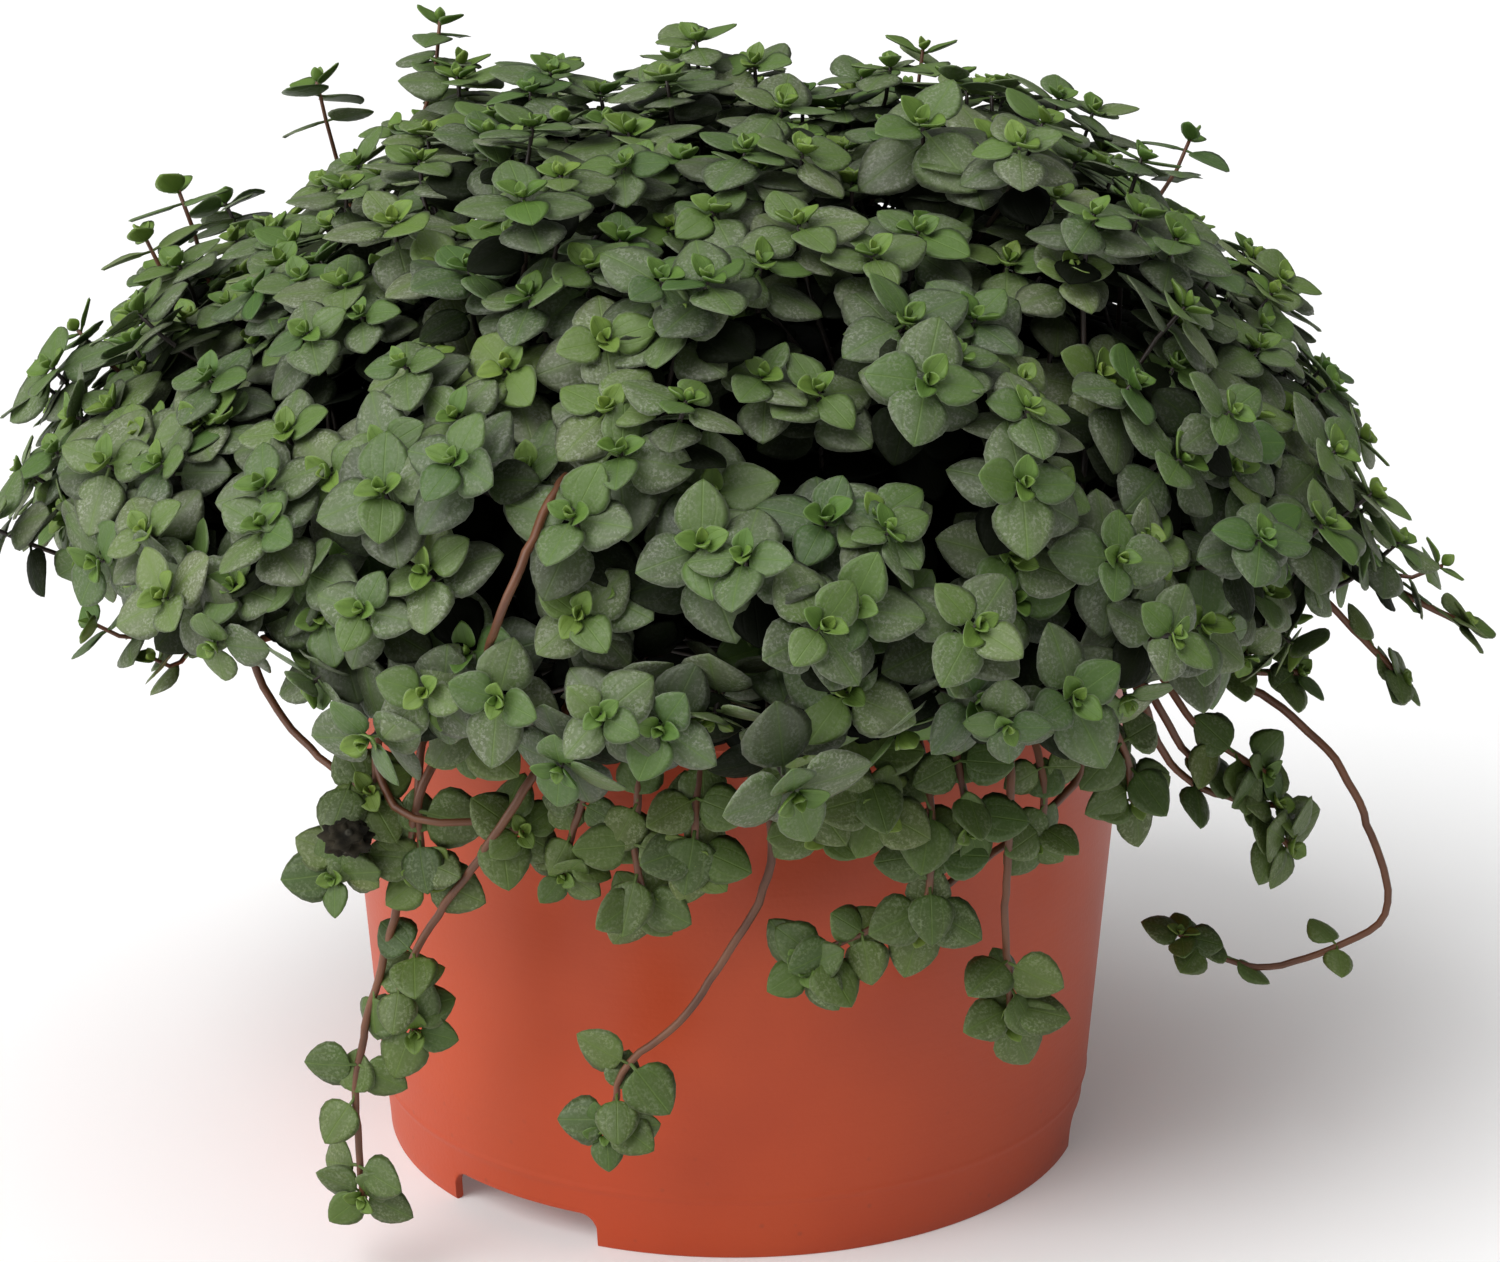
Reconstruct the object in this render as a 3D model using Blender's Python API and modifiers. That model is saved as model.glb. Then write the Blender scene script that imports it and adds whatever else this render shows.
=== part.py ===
"""Potted pilea: a mound of small-leaved grey-green pilea in a terracotta-coloured nursery pot.

The frame stands on the floor: the origin is the middle of the pot's foot, +Z is up and -Y is the
side that the longest trailing shoots hang on. The pot is one turned shell with notches in its foot
and drain holes in its floor. The soil fills it and has a socket for every shoot. Every shoot is
one grown piece, rooted in its own socket: a stem with its leaves in crossed pairs. The crown's
shoots fan out to an even dome, and the trailing ones go over the rim and hang down outside it.
"""
import math

import bmesh
import bpy
from mathutils import Matrix, Vector, noise

# Pot, in metres
POT_HEIGHT = 0.080
RIM_RADIUS = 0.060
LIP_HEIGHT = 0.004
LIP_STEP = 0.0018
FOOT_RADIUS = 0.0528
WALL = 0.0012
FLOOR_LEVEL = 0.0058
RIDGE_LEVEL = 0.0095
RIDGE_STEP = 0.0003
NOTCH_WIDTH = 0.026
NOTCH_HEIGHT = 0.0047
NOTCH_CORNER = 0.0016
NOTCH_AZIMUTHS = (-35.5, 84.5, 204.5)
DRAIN_RADIUS = 0.0028
DRAIN_RING_RADIUS = 0.034
DRAIN_COUNT = 6
POT_STEPS = 48

# Soil
SOIL_BELOW_RIM = 0.008
SOIL_MOUND = 0.0015
SOIL_LUMP = 0.0006
SOIL_STEPS = 36
SOIL_RINGS = 3
SOCKET_SIDES = 5
ROOT_DEPTH = 0.006
ROOT_CLEARANCE = 0.0006
GAP = 0.0003

# Crown: a dome of shoots whose side is at most this far outside the rim
CROWN_SHOOTS = 28
CROWN_OVERHANG = 0.033
CROWN_WAIST = 0.010
CROWN_RISE = 0.060
CROWN_ROOT_INSET = 0.014
FORK_DEPTH = 0.017
FORK_SPREAD = 0.0115
FORK_TURN = 0.6
BRANCH_TILT = 0.4
FORK_STAGGER = 0.0013
STEM_RADIUS = 0.0007
TIP_RADIUS = 0.00045
STEM_RESOLUTION = 0

# Leaves
LEAF_LENGTH = 0.0092
LEAF_WIDTH = 0.0086
LEAF_THICKNESS = 0.0009
LEAF_SIDES = 6
LEAF_CUP = 0.0010
# Pairs of a rosette: distance below the tip, share of the full size, and rise above the
# stem's cross plane in radians
ROSETTE = ((0.0007, 0.85, 0.50), (0.0030, 1.0, 0.15))

# Trailing shoots hang outside the rim from roots close to the pot's wall
TRAIL_ROOT_INSET = 0.0045
TRAIL_RIM_CLEARANCE = 0.0035
TRAIL_STEM_RADIUS = 0.00075
TRAIL_POINT_SPACING = 0.012
TRAIL_LEAF_SPACING = 0.0125
TIP_LEAF_SPACING = 0.0030
TRAIL_LEAF_LENGTH = 0.0088
TRAIL_LEAF_WIDTH = 0.0080

GOLDEN_ANGLE = math.pi * (3.0 - math.sqrt(5.0))

# Each trailing shoot: its root's azimuth in degrees, then its way from the rim to its tip as
# (azimuth in degrees, distance outside the pot's side, height as a share of the pot's height).
# Azimuth 0 is -Y, and +X is at 90.
TRAILS = {
    "trail_front_left_long": (-30, (
        (-33, 0.0175, 0.97), (-36, 0.0200, 0.84), (-40, 0.0225, 0.66), (-42, 0.0240, 0.47),
        (-43, 0.0245, 0.30), (-42, 0.0245, 0.14))),
    "trail_front_left_inner": (-20, (
        (-21, 0.0130, 0.98), (-23, 0.0135, 0.83), (-26, 0.0130, 0.66), (-29, 0.0130, 0.49))),
    "trail_left_arch": (-58, (
        (-57, 0.0200, 1.04), (-55, 0.0240, 0.98), (-53, 0.0265, 0.90), (-52, 0.0265, 0.78))),
    "trail_front_centre": (0, (
        (2, 0.0130, 0.99), (0, 0.0135, 0.78), (-4, 0.0145, 0.60), (-10, 0.0160, 0.45),
        (-14, 0.0170, 0.31))),
    "trail_front_right_slant": (39, (
        (38, 0.0120, 0.98), (36, 0.0110, 0.84), (28, 0.0085, 0.68), (18, 0.0100, 0.62),
        (10, 0.0120, 0.60))),
    "trail_front_right": (26, (
        (26, 0.0200, 1.03), (26, 0.0250, 0.86), (27, 0.0250, 0.66), (29, 0.0240, 0.47))),
    "trail_right_low": (52, (
        (55, 0.0120, 0.97), (58, 0.0140, 0.80), (63, 0.0190, 0.73), (66, 0.0260, 0.68))),
    "trail_right_hook": (66, (
        (67, 0.0130, 1.05), (70, 0.0220, 0.95), (72, 0.0300, 0.81), (73, 0.0370, 0.62),
        (71, 0.0390, 0.50), (66, 0.0330, 0.42), (60, 0.0240, 0.43), (57, 0.0170, 0.49))),
    "trail_right_side": (86, (
        (86, 0.0250, 1.09), (86, 0.0370, 1.03), (86, 0.0460, 0.93))),
    "trail_back_right": (130, (
        (131, 0.0150, 1.00), (134, 0.0170, 0.82), (138, 0.0190, 0.63), (141, 0.0200, 0.46))),
    "trail_back_long": (172, (
        (173, 0.0140, 1.00), (175, 0.0165, 0.82), (179, 0.0190, 0.62), (184, 0.0205, 0.42),
        (188, 0.0210, 0.24))),
    "trail_back_left": (214, (
        (214, 0.0150, 1.00), (211, 0.0170, 0.82), (207, 0.0180, 0.66))),
    "trail_left_side": (262, (
        (262, 0.0160, 1.03), (262, 0.0210, 0.96), (262, 0.0230, 0.88), (262, 0.0220, 0.80))),
}

# Crown shoots, by number, that stand out of the dome, with how far each one does
SPRIGS = {8: 0.012, 13: 0.012, 15: 0.008, 24: 0.014}


def material(name, colour, roughness):
    made = bpy.data.materials.new(name)
    made.use_nodes = True
    shader = made.node_tree.nodes["Principled BSDF"]
    shader.inputs["Base Color"].default_value = (*colour, 1.0)
    shader.inputs["Roughness"].default_value = roughness
    shader.inputs["Metallic"].default_value = 0.0
    return made


def mesh_object(name, bm, collection):
    """The bmesh as an object of the collection; the bmesh is used up."""
    mesh = bpy.data.meshes.new(name)
    bm.to_mesh(mesh)
    bm.free()
    made = bpy.data.objects.new(name, mesh)
    collection.objects.link(made)
    return made


def cutter_object(name, bm):
    made = mesh_object(name, bm, cutters)
    made.hide_render = True
    made.display_type = "WIRE"
    return made


def boolean(target, other, operation):
    modifier = target.modifiers.new(operation.lower(), "BOOLEAN")
    modifier.operation = operation
    modifier.solver = "EXACT"
    modifier.object = other


def settled(target):
    """Replace an object's mesh by its evaluated one, so that its modifiers are used up."""
    bpy.context.view_layer.update()
    evaluated = target.evaluated_get(bpy.context.evaluated_depsgraph_get())
    mesh = bpy.data.meshes.new_from_object(evaluated)
    target.modifiers.clear()
    target.data = mesh


def turned(name, profile, steps, collection):
    """A profile of (radius, height) points turned about Z; its ends lie on the axis."""
    bm = bmesh.new()
    row = [bm.verts.new((radius, 0.0, height)) for radius, height in profile]
    for first, second in zip(row, row[1:]):
        bm.edges.new((first, second))
    made = mesh_object(name, bm, collection)
    screw = made.modifiers.new("turn", "SCREW")
    screw.steps = steps
    screw.render_steps = steps
    screw.use_merge_vertices = True
    screw.merge_threshold = 0.00005
    return made


def polar(azimuth, radius, height):
    """A point from its azimuth in radians; 0 is -Y and a quarter turn is +X."""
    return Vector((radius * math.sin(azimuth), -radius * math.cos(azimuth), height))


def side_radius(height):
    """The pot's outer radius, without the ridge; the lip counts as the rim."""
    lip_bottom = POT_HEIGHT - LIP_HEIGHT
    if height > lip_bottom:
        return RIM_RADIUS
    neck_radius = RIM_RADIUS - LIP_STEP
    return FOOT_RADIUS + (neck_radius - FOOT_RADIUS) * height / lip_bottom


def soil_level():
    return POT_HEIGHT - SOIL_BELOW_RIM


def build_pot(collection):
    """The shell, turned in one piece: raised floor, tapered side, stepped lip and foot ring."""
    lip_bottom = POT_HEIGHT - LIP_HEIGHT
    neck = side_radius(lip_bottom)
    floor_top = FLOOR_LEVEL + WALL
    profile = (
        (0.0, floor_top),
        (side_radius(floor_top) - WALL, floor_top),
        (neck - WALL, lip_bottom),
        (RIM_RADIUS - WALL, lip_bottom + WALL),
        (RIM_RADIUS - WALL, POT_HEIGHT - WALL / 4),
        (RIM_RADIUS - WALL * 3 / 4, POT_HEIGHT),
        (RIM_RADIUS - WALL / 4, POT_HEIGHT),
        (RIM_RADIUS, POT_HEIGHT - WALL / 4),
        (RIM_RADIUS, lip_bottom),
        (neck, lip_bottom),
        (side_radius(RIDGE_LEVEL), RIDGE_LEVEL),
        (side_radius(RIDGE_LEVEL) - RIDGE_STEP, RIDGE_LEVEL - RIDGE_STEP),
        (FOOT_RADIUS - RIDGE_STEP, 0.0),
        (FOOT_RADIUS - WALL - RIDGE_STEP, 0.0),
        (side_radius(FLOOR_LEVEL) - WALL - RIDGE_STEP, FLOOR_LEVEL),
        (0.0, FLOOR_LEVEL),
    )
    pot = turned("pot", profile, POT_STEPS, collection)
    boolean(pot, foot_notches(), "DIFFERENCE")
    boolean(pot, drain_holes(), "DIFFERENCE")
    pot.data.materials.append(material("terracotta_plastic", (0.49, 0.095, 0.042), 0.55))
    return pot


def foot_notches():
    """Three blocks with rounded upper corners that open the foot ring down to the floor."""
    bm = bmesh.new()
    depth = 8 * WALL
    height = 2 * NOTCH_HEIGHT
    for azimuth in NOTCH_AZIMUTHS:
        turn = Matrix.Rotation(math.radians(azimuth), 4, "Z")
        block = Matrix.Diagonal((NOTCH_WIDTH, depth, height, 1.0))
        place = Matrix.Translation((0.0, -(FOOT_RADIUS - WALL), 0.0))
        made = bmesh.ops.create_cube(bm, size=1.0, matrix=turn @ place @ block)
        edges = {edge for vert in made["verts"] for edge in vert.link_edges}
        upper = [edge for edge in edges if is_upper_corner(edge, turn)]
        bmesh.ops.bevel(bm, geom=upper, offset=NOTCH_CORNER, segments=3, profile=0.5,
                        affect="EDGES")
    return cutter_object("foot_notches", bm)


def is_upper_corner(edge, turn):
    """Whether a block's edge lies along its depth, at the top."""
    start, end = (vert.co for vert in edge.verts)
    along = (end - start).normalized()
    outward = (turn @ Vector((0.0, -1.0, 0.0))).normalized()
    return abs(along.dot(outward)) > 0.9 and start.z > 0.0


def drain_holes():
    bm = bmesh.new()
    places = [Vector((0.0, 0.0, FLOOR_LEVEL))]
    for index in range(DRAIN_COUNT):
        azimuth = 2 * math.pi * (index + 0.5) / DRAIN_COUNT
        places.append(polar(azimuth, DRAIN_RING_RADIUS, FLOOR_LEVEL))
    for place in places:
        bmesh.ops.create_cone(bm, cap_ends=True, segments=16, radius1=DRAIN_RADIUS,
                              radius2=DRAIN_RADIUS, depth=4 * WALL,
                              matrix=Matrix.Translation(place))
    return cutter_object("drain_holes", bm)


def build_soil(collection, roots):
    """The filling, clear of the pot by the gap, with a lumpy top and a socket for each root."""
    floor_top = FLOOR_LEVEL + WALL + GAP
    top = soil_level()
    inside = WALL + GAP
    top_radius = side_radius(top) - inside
    profile = [(top_radius * ring / SOIL_RINGS, top) for ring in range(SOIL_RINGS + 1)]
    profile.append((side_radius(floor_top) - inside, floor_top))
    profile.append((0.0, floor_top))
    soil = turned("soil", profile, SOIL_STEPS, collection)
    settled(soil)
    for vert in soil.data.vertices:
        radius = math.hypot(vert.co.x, vert.co.y)
        if vert.co.z < top - GAP or radius > top_radius * 0.97:
            continue
        mound = SOIL_MOUND * (1.0 - (radius / top_radius) ** 2)
        vert.co.z += mound + SOIL_LUMP * noise.noise(vert.co * 180.0)
    boolean(soil, root_sockets(roots), "DIFFERENCE")
    soil.data.materials.append(material("potting_soil", (0.030, 0.022, 0.015), 0.95))
    return soil


def root_sockets(roots):
    """One upright bore for each root, a little wider and deeper than the stem in it."""
    bm = bmesh.new()
    above = SOIL_MOUND + SOIL_LUMP + ROOT_CLEARANCE
    depth = ROOT_DEPTH + GAP
    for root, radius in roots:
        middle = Vector((root.x, root.y, root.z - GAP + (depth + above) / 2))
        bore = radius + ROOT_CLEARANCE
        bmesh.ops.create_cone(bm, cap_ends=True, segments=SOCKET_SIDES, radius1=bore, radius2=bore,
                              depth=depth + above, matrix=Matrix.Translation(middle))
    return cutter_object("root_sockets", bm)


def stem_object(name, points, radii, collection, tilt=0.0):
    """A stem along its points as a closed mesh, welded at its caps and turned by the tilt."""
    curve = bpy.data.curves.new(name, "CURVE")
    curve.dimensions = "3D"
    curve.bevel_depth = 1.0
    curve.bevel_resolution = STEM_RESOLUTION
    curve.use_fill_caps = True
    spline = curve.splines.new("POLY")
    spline.points.add(len(points) - 1)
    for slot, point, radius in zip(spline.points, points, radii):
        slot.co = (*point, 1.0)
        slot.radius = radius
        slot.tilt = tilt
    guide = bpy.data.objects.new(name + "_guide", curve)
    cutters.objects.link(guide)
    bpy.context.view_layer.update()
    evaluated = guide.evaluated_get(bpy.context.evaluated_depsgraph_get())
    mesh = bpy.data.meshes.new_from_object(evaluated)
    mesh.name = name
    bm = bmesh.new()
    bm.from_mesh(mesh)
    bmesh.ops.remove_doubles(bm, verts=bm.verts, dist=0.00001)
    bm.to_mesh(mesh)
    bm.free()
    stem = bpy.data.objects.new(name, mesh)
    stem.matrix_world = guide.matrix_world
    collection.objects.link(stem)
    bpy.data.objects.remove(guide)
    bpy.data.curves.remove(curve)
    return stem


def add_leaf(bm, base, outward, upward, length, width):
    """One blade: a one-ring sphere flattened to a lens, with its base end on the stem.

    The blade runs from base along outward, its upper face looks along upward, its sides droop
    by the cup and its free end narrows to a blunt point.
    """
    side = outward.cross(upward)
    made = bmesh.ops.create_uvsphere(bm, u_segments=LEAF_SIDES, v_segments=2, radius=1.0)
    for vert in made["verts"]:
        along = (vert.co.y + 1.0) / 2
        across = vert.co.x * width / 2
        droop = LEAF_CUP * vert.co.x ** 2
        lift = vert.co.z * LEAF_THICKNESS / 2 - droop
        vert.co = base + outward * (along * length) + side * across + upward * lift


def leaf_pair(bm, node, axis, across, length, width, rise):
    """Two opposite leaves at a stem's node; rise is their angle above the stem's cross plane."""
    for sense in (1.0, -1.0):
        sideways = across * sense
        outward = sideways * math.cos(rise) + axis * math.sin(rise)
        upward = axis * math.cos(rise) - sideways * math.sin(rise)
        base = node + sideways * TIP_RADIUS / 3
        add_leaf(bm, base, outward, upward, length, width)


def join_pairs(stem, pairs):
    """Grow each pair of leaves onto the stem, so that the shoot is one closed body."""
    for index, pair in enumerate(pairs):
        bm = bmesh.new()
        leaf_pair(bm, *pair)
        leaves = cutter_object(f"{stem.name}_leaves_{index}", bm)
        boolean(stem, leaves, "UNION")
        settled(stem)
        bpy.data.objects.remove(leaves)


def smooth_route(points, spacing):
    """Points at about even spacing on a Catmull-Rom curve through the given points."""
    ends = [points[0] * 2 - points[1], *points, points[-1] * 2 - points[-2]]
    route = []
    for before, start, end, after in zip(ends, ends[1:], ends[2:], ends[3:]):
        steps = max(1, round((end - start).length / spacing))
        for step in range(steps):
            t = step / steps
            route.append(0.5 * (2 * start + (end - before) * t
                                + (2 * before - 5 * start + 4 * end - after) * t ** 2
                                + (3 * start - before - 3 * end + after) * t ** 3))
    route.append(points[-1])
    return route


def station(route, distance):
    """The point this far back from a route's tip, and the direction towards the tip there."""
    travelled = 0.0
    for end, start in zip(reversed(route), reversed(route[:-1])):
        step = (end - start).length
        axis = (end - start) / step
        if travelled + step >= distance:
            return end - axis * (distance - travelled), axis
        travelled += step
    return None, None


def bezier(start, first, second, end, t):
    rest = 1.0 - t
    return (start * rest ** 3 + first * (3 * rest ** 2 * t) + second * (3 * rest * t ** 2)
            + end * t ** 3)


def dome_profile(share):
    """The crown's outline as (radius, height, outward normal) at a share of its area.

    The outline is a quarter of a squarish oval: share 0 is the top and share 1 the waist's edge.
    Areas are summed along it, so that even shares give evenly spread shoots.
    """
    steps = 200
    radius_full = RIM_RADIUS + CROWN_OVERHANG
    power = 2.0 / 2.6
    outline = []
    for step in range(steps + 1):
        angle = math.pi / 2 * step / steps
        outline.append((radius_full * math.sin(angle) ** power,
                        CROWN_RISE * math.cos(angle) ** power))
    areas = [0.0]
    for (r0, z0), (r1, z1) in zip(outline, outline[1:]):
        areas.append(areas[-1] + (r0 + r1) / 2 * math.hypot(r1 - r0, z1 - z0))
    wanted = share * areas[-1]
    index = next(i for i, area in enumerate(areas) if area >= wanted)
    index = min(max(index, 1), steps - 1)
    radius, height = outline[index]
    (r0, z0), (r1, z1) = outline[index - 1], outline[index + 1]
    along = math.hypot(r1 - r0, z1 - z0)
    waist = POT_HEIGHT + CROWN_WAIST
    return radius, waist + height, ((z0 - z1) / along, (r1 - r0) / along)


def crown_shoot(index, collection, leaf_material):
    """One shoot of the crown: it climbs from its socket and forks into three rosettes."""
    share = (index + 0.5) / CROWN_SHOOTS
    azimuth = index * GOLDEN_ANGLE
    radius, height, (normal_out, normal_up) = dome_profile(share * 0.95)
    outward = polar(azimuth, 1.0, 0.0)
    up = Vector((0.0, 0.0, 1.0))
    normal = outward * normal_out + up * normal_up
    axis = (normal + up * 0.6).normalized()
    head = polar(azimuth, radius, height) + axis * SPRIGS.get(index + 1, 0.0)
    fork = head - axis * FORK_DEPTH

    root_radius = (side_radius(soil_level()) - CROWN_ROOT_INSET) * math.sqrt(share)
    root = polar(azimuth, root_radius, soil_level() - ROOT_DEPTH)
    collar = root + up * (ROOT_DEPTH + 0.003)
    climb = (POT_HEIGHT + 0.016 - collar.z) * (0.4 + 0.6 * share)
    first = collar + up * climb
    second = fork - axis * 0.012
    trunk = [root] + [bezier(collar, first, second, fork, step / 3) for step in range(4)]
    fork_radius = (STEM_RADIUS + TIP_RADIUS) / 2

    across = normal.cross(outward.cross(up)).normalized()
    around = normal.cross(across)
    tips = []
    for branch in range(3):
        turn = index * FORK_TURN + branch * 2 * math.pi / 3
        aside = across * math.cos(turn) + around * math.sin(turn)
        tips.append(head + aside * FORK_SPREAD)
    name = f"shoot_crown_{index + 1:02d}"
    main = trunk + [(fork * 2 + tips[0]) / 3 + axis * 0.002, tips[0]]
    stem = stem_object(name, main, tapered(len(main), STEM_RADIUS, TIP_RADIUS), collection)
    for number, tip in enumerate(tips[1:], start=1):
        base = fork - axis * (FORK_STAGGER * number)
        side = [base, (fork * 2 + tip) / 3 + axis * 0.002, tip]
        branch = stem_object(name + "_branch", side, tapered(3, fork_radius, TIP_RADIUS), cutters,
                             tilt=BRANCH_TILT * number)
        boolean(stem, branch, "UNION")
        settled(stem)
        bpy.data.objects.remove(branch)
        join_pairs(stem, rosette(side, index + number))
    join_pairs(stem, rosette(main, index))
    stem.data.materials.append(leaf_material)
    return root


def tapered(count, start, end):
    """A stem's radii at its points, from its first to its last."""
    return [start + (end - start) * step / (count - 1) for step in range(count)]


def rosette(route, twist):
    """Crossed leaf pairs at a stem's tip: the upper one smaller and more upright."""
    pairs = []
    for count, (distance, share, rise) in enumerate(ROSETTE):
        node, axis = station(route, distance)
        across = axis.cross(Vector((math.cos(twist), math.sin(twist), 0.2))).normalized()
        if count % 2:
            across = axis.cross(across)
        pairs.append((node, axis, across, LEAF_LENGTH * share, LEAF_WIDTH * share, rise))
    return pairs


def trailing_shoot(name, root_azimuth, way, collection, leaf_material):
    """One shoot over the rim: up from its root, over the lip, then along its way to its tip."""
    up = Vector((0.0, 0.0, 1.0))
    turn = math.radians(root_azimuth)
    root_radius = side_radius(soil_level()) - WALL - TRAIL_ROOT_INSET
    root = polar(turn, root_radius, soil_level() - ROOT_DEPTH)
    collar = root + up * (ROOT_DEPTH + 0.002)
    crest = POT_HEIGHT + TRAIL_RIM_CLEARANCE
    first_turn = math.radians(way[0][0])
    over = polar((turn + first_turn) / 2, RIM_RADIUS, crest)
    stations = [collar, over]
    for azimuth, out, level in way:
        height = level * POT_HEIGHT
        stations.append(polar(math.radians(azimuth), side_radius(height) + out, height))
    route = [root] + smooth_route(stations, TRAIL_POINT_SPACING)
    radii = tapered(len(route), TRAIL_STEM_RADIUS, TIP_RADIUS)
    stem = stem_object(name, route, radii, collection)
    join_pairs(stem, trail_pairs(route))
    stem.data.materials.append(leaf_material)
    return root


def trail_pairs(route):
    """Crossed leaf pairs at even steps back from a trailing shoot's tip, as far as the rim."""
    pairs = []
    distance = 0.0008
    while True:
        node, axis = station(route, distance)
        beyond = math.hypot(node.x, node.y) - RIM_RADIUS
        if beyond < LEAF_LENGTH and node.z > POT_HEIGHT - LIP_HEIGHT:
            return pairs
        pairs.append(trail_pair(node, axis, len(pairs)))
        distance += TRAIL_LEAF_SPACING if len(pairs) > 2 else TIP_LEAF_SPACING


def trail_pair(node, axis, count):
    """The pair at one node: turned a quarter from its neighbours and clear of the pot's side."""
    outward = Vector((node.x, node.y, 0.0)).normalized()
    along_wall = axis.cross(outward).normalized()
    away = along_wall.cross(axis).normalized()
    slant = math.pi / 4 * (1 if count % 2 else -1)
    across = along_wall * math.cos(slant) + away * math.sin(slant)
    if count == 0:
        return node, axis, across, TRAIL_LEAF_LENGTH * 0.6, TRAIL_LEAF_WIDTH * 0.6, 0.8
    rise = 0.45 if count == 1 else 0.15
    return node, axis, across, TRAIL_LEAF_LENGTH, TRAIL_LEAF_WIDTH, rise


for leftover in list(bpy.data.objects):
    bpy.data.objects.remove(leftover)

parts = bpy.data.collections.new("potted_pilea")
cutters = bpy.data.collections.new("cutters")
bpy.context.scene.collection.children.link(parts)
bpy.context.scene.collection.children.link(cutters)

crown_material = material("crown_leaves", (0.085, 0.115, 0.045), 0.60)
trail_material = material("trailing_leaves", (0.110, 0.150, 0.065), 0.60)
planted = []
for number in range(CROWN_SHOOTS):
    planted.append((crown_shoot(number, parts, crown_material), STEM_RADIUS))
for trail, (start, stations) in TRAILS.items():
    planted.append((trailing_shoot(trail, start, stations, parts, trail_material),
                    TRAIL_STEM_RADIUS))
build_pot(parts)
build_soil(parts, planted)
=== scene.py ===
"""Potted pilea: the finished look of the plant and its nursery pot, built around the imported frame.

Everything is in metres, +Z up, with the origin at the middle of the pot's foot. -Y is the front.
The pieces come in the order in which the real thing is put together: pot, soil, the crown's
shoots, the trailing shoots, then the floor, the lights and the camera.
"""
import math

import bpy
import numpy as np
from mathutils import Euler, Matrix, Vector


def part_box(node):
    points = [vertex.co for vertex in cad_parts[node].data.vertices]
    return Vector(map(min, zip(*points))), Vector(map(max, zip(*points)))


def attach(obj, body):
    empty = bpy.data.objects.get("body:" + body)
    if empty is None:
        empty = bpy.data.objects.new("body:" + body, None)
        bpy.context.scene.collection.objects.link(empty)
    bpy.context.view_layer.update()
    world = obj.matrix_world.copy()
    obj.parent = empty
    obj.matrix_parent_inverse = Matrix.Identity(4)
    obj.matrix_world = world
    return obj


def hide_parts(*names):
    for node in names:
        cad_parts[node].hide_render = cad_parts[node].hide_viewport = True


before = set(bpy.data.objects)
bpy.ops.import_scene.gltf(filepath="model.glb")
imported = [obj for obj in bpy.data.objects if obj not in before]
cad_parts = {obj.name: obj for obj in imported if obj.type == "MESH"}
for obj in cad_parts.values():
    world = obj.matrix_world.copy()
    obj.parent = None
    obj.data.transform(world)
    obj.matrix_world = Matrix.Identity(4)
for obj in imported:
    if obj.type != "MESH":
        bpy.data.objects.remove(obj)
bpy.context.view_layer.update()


# ---- Pot ----------------------------------------------------------------------------------------
# A thin nursery pot of injection-moulded plastic, one turned shell: raised floor, tapered side, a
# stepped lip and a foot ring that three notches open. It stands on the ring.

POT_LOW, POT_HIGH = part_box("pot")
POT_HEIGHT = POT_HIGH.z
RIM_RADIUS = POT_HIGH.x
LIP_HEIGHT = 0.0040
LIP_STEP = 0.0018
FOOT_RADIUS = 0.0528
WALL = 0.0012
FLOOR_LEVEL = 0.0058
FLOOR_RINGS = np.linspace(0.004, 0.048, 6)
RIDGE_LEVEL = 0.0095
RIDGE_STEP = 0.0003
EDGE_SOFTNESS = 0.0003
SHARP_ANGLE = math.radians(40)
NOTCH_AZIMUTHS = np.radians((-35.5, 84.5, 204.5))
NOTCH_HALF_WIDTH = 0.0130
NOTCH_HEIGHT = 0.0047
NOTCH_CORNER = 0.0026
UP = np.array([0.0, 0.0, 1.0])


def around(azimuth, radius, height):
    """Points from azimuths, with 0 at -Y and a quarter turn at +X, radii and heights."""
    return np.stack(np.broadcast_arrays(radius * np.sin(azimuth), -radius * np.cos(azimuth),
                                        height), axis=-1)


def side_radius(height):
    """The pot's outer radius at a height: a straight taper up to the lip, then the rim's."""
    lip_bottom = POT_HEIGHT - LIP_HEIGHT
    neck = RIM_RADIUS - LIP_STEP
    taper = FOOT_RADIUS + (neck - FOOT_RADIUS) * np.asarray(height) / lip_bottom
    return np.where(np.asarray(height) > lip_bottom, RIM_RADIUS, taper)


def mesh_piece(name, points, faces):
    """A new piece from its points and its face arrays; each array holds faces of one size."""
    mesh = bpy.data.meshes.new(name)
    loops = np.concatenate([block.ravel() for block in faces]).astype(np.int32)
    sizes = np.concatenate([np.full(len(block), block.shape[1]) for block in faces])
    starts = np.concatenate(([0], np.cumsum(sizes)[:-1])).astype(np.int32)
    mesh.vertices.add(len(points))
    mesh.vertices.foreach_set("co", np.asarray(points, np.float32).ravel())
    mesh.loops.add(len(loops))
    mesh.loops.foreach_set("vertex_index", loops)
    mesh.polygons.add(len(sizes))
    mesh.polygons.foreach_set("loop_start", starts)
    mesh.update(calc_edges=True)
    mesh.shade_smooth()
    made = bpy.data.objects.new(name, mesh)
    bpy.context.scene.collection.objects.link(made)
    return made


def turned_faces(rows, columns, first=0):
    """Quads of a grid whose columns close into a ring, facing out when rows run downwards."""
    row, column = np.meshgrid(np.arange(rows - 1), np.arange(columns), indexing="ij")
    after = (column + 1) % columns
    return first + np.stack((row * columns + column, (row + 1) * columns + column,
                             (row + 1) * columns + after, row * columns + after),
                            axis=-1).reshape(-1, 4)


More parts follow.
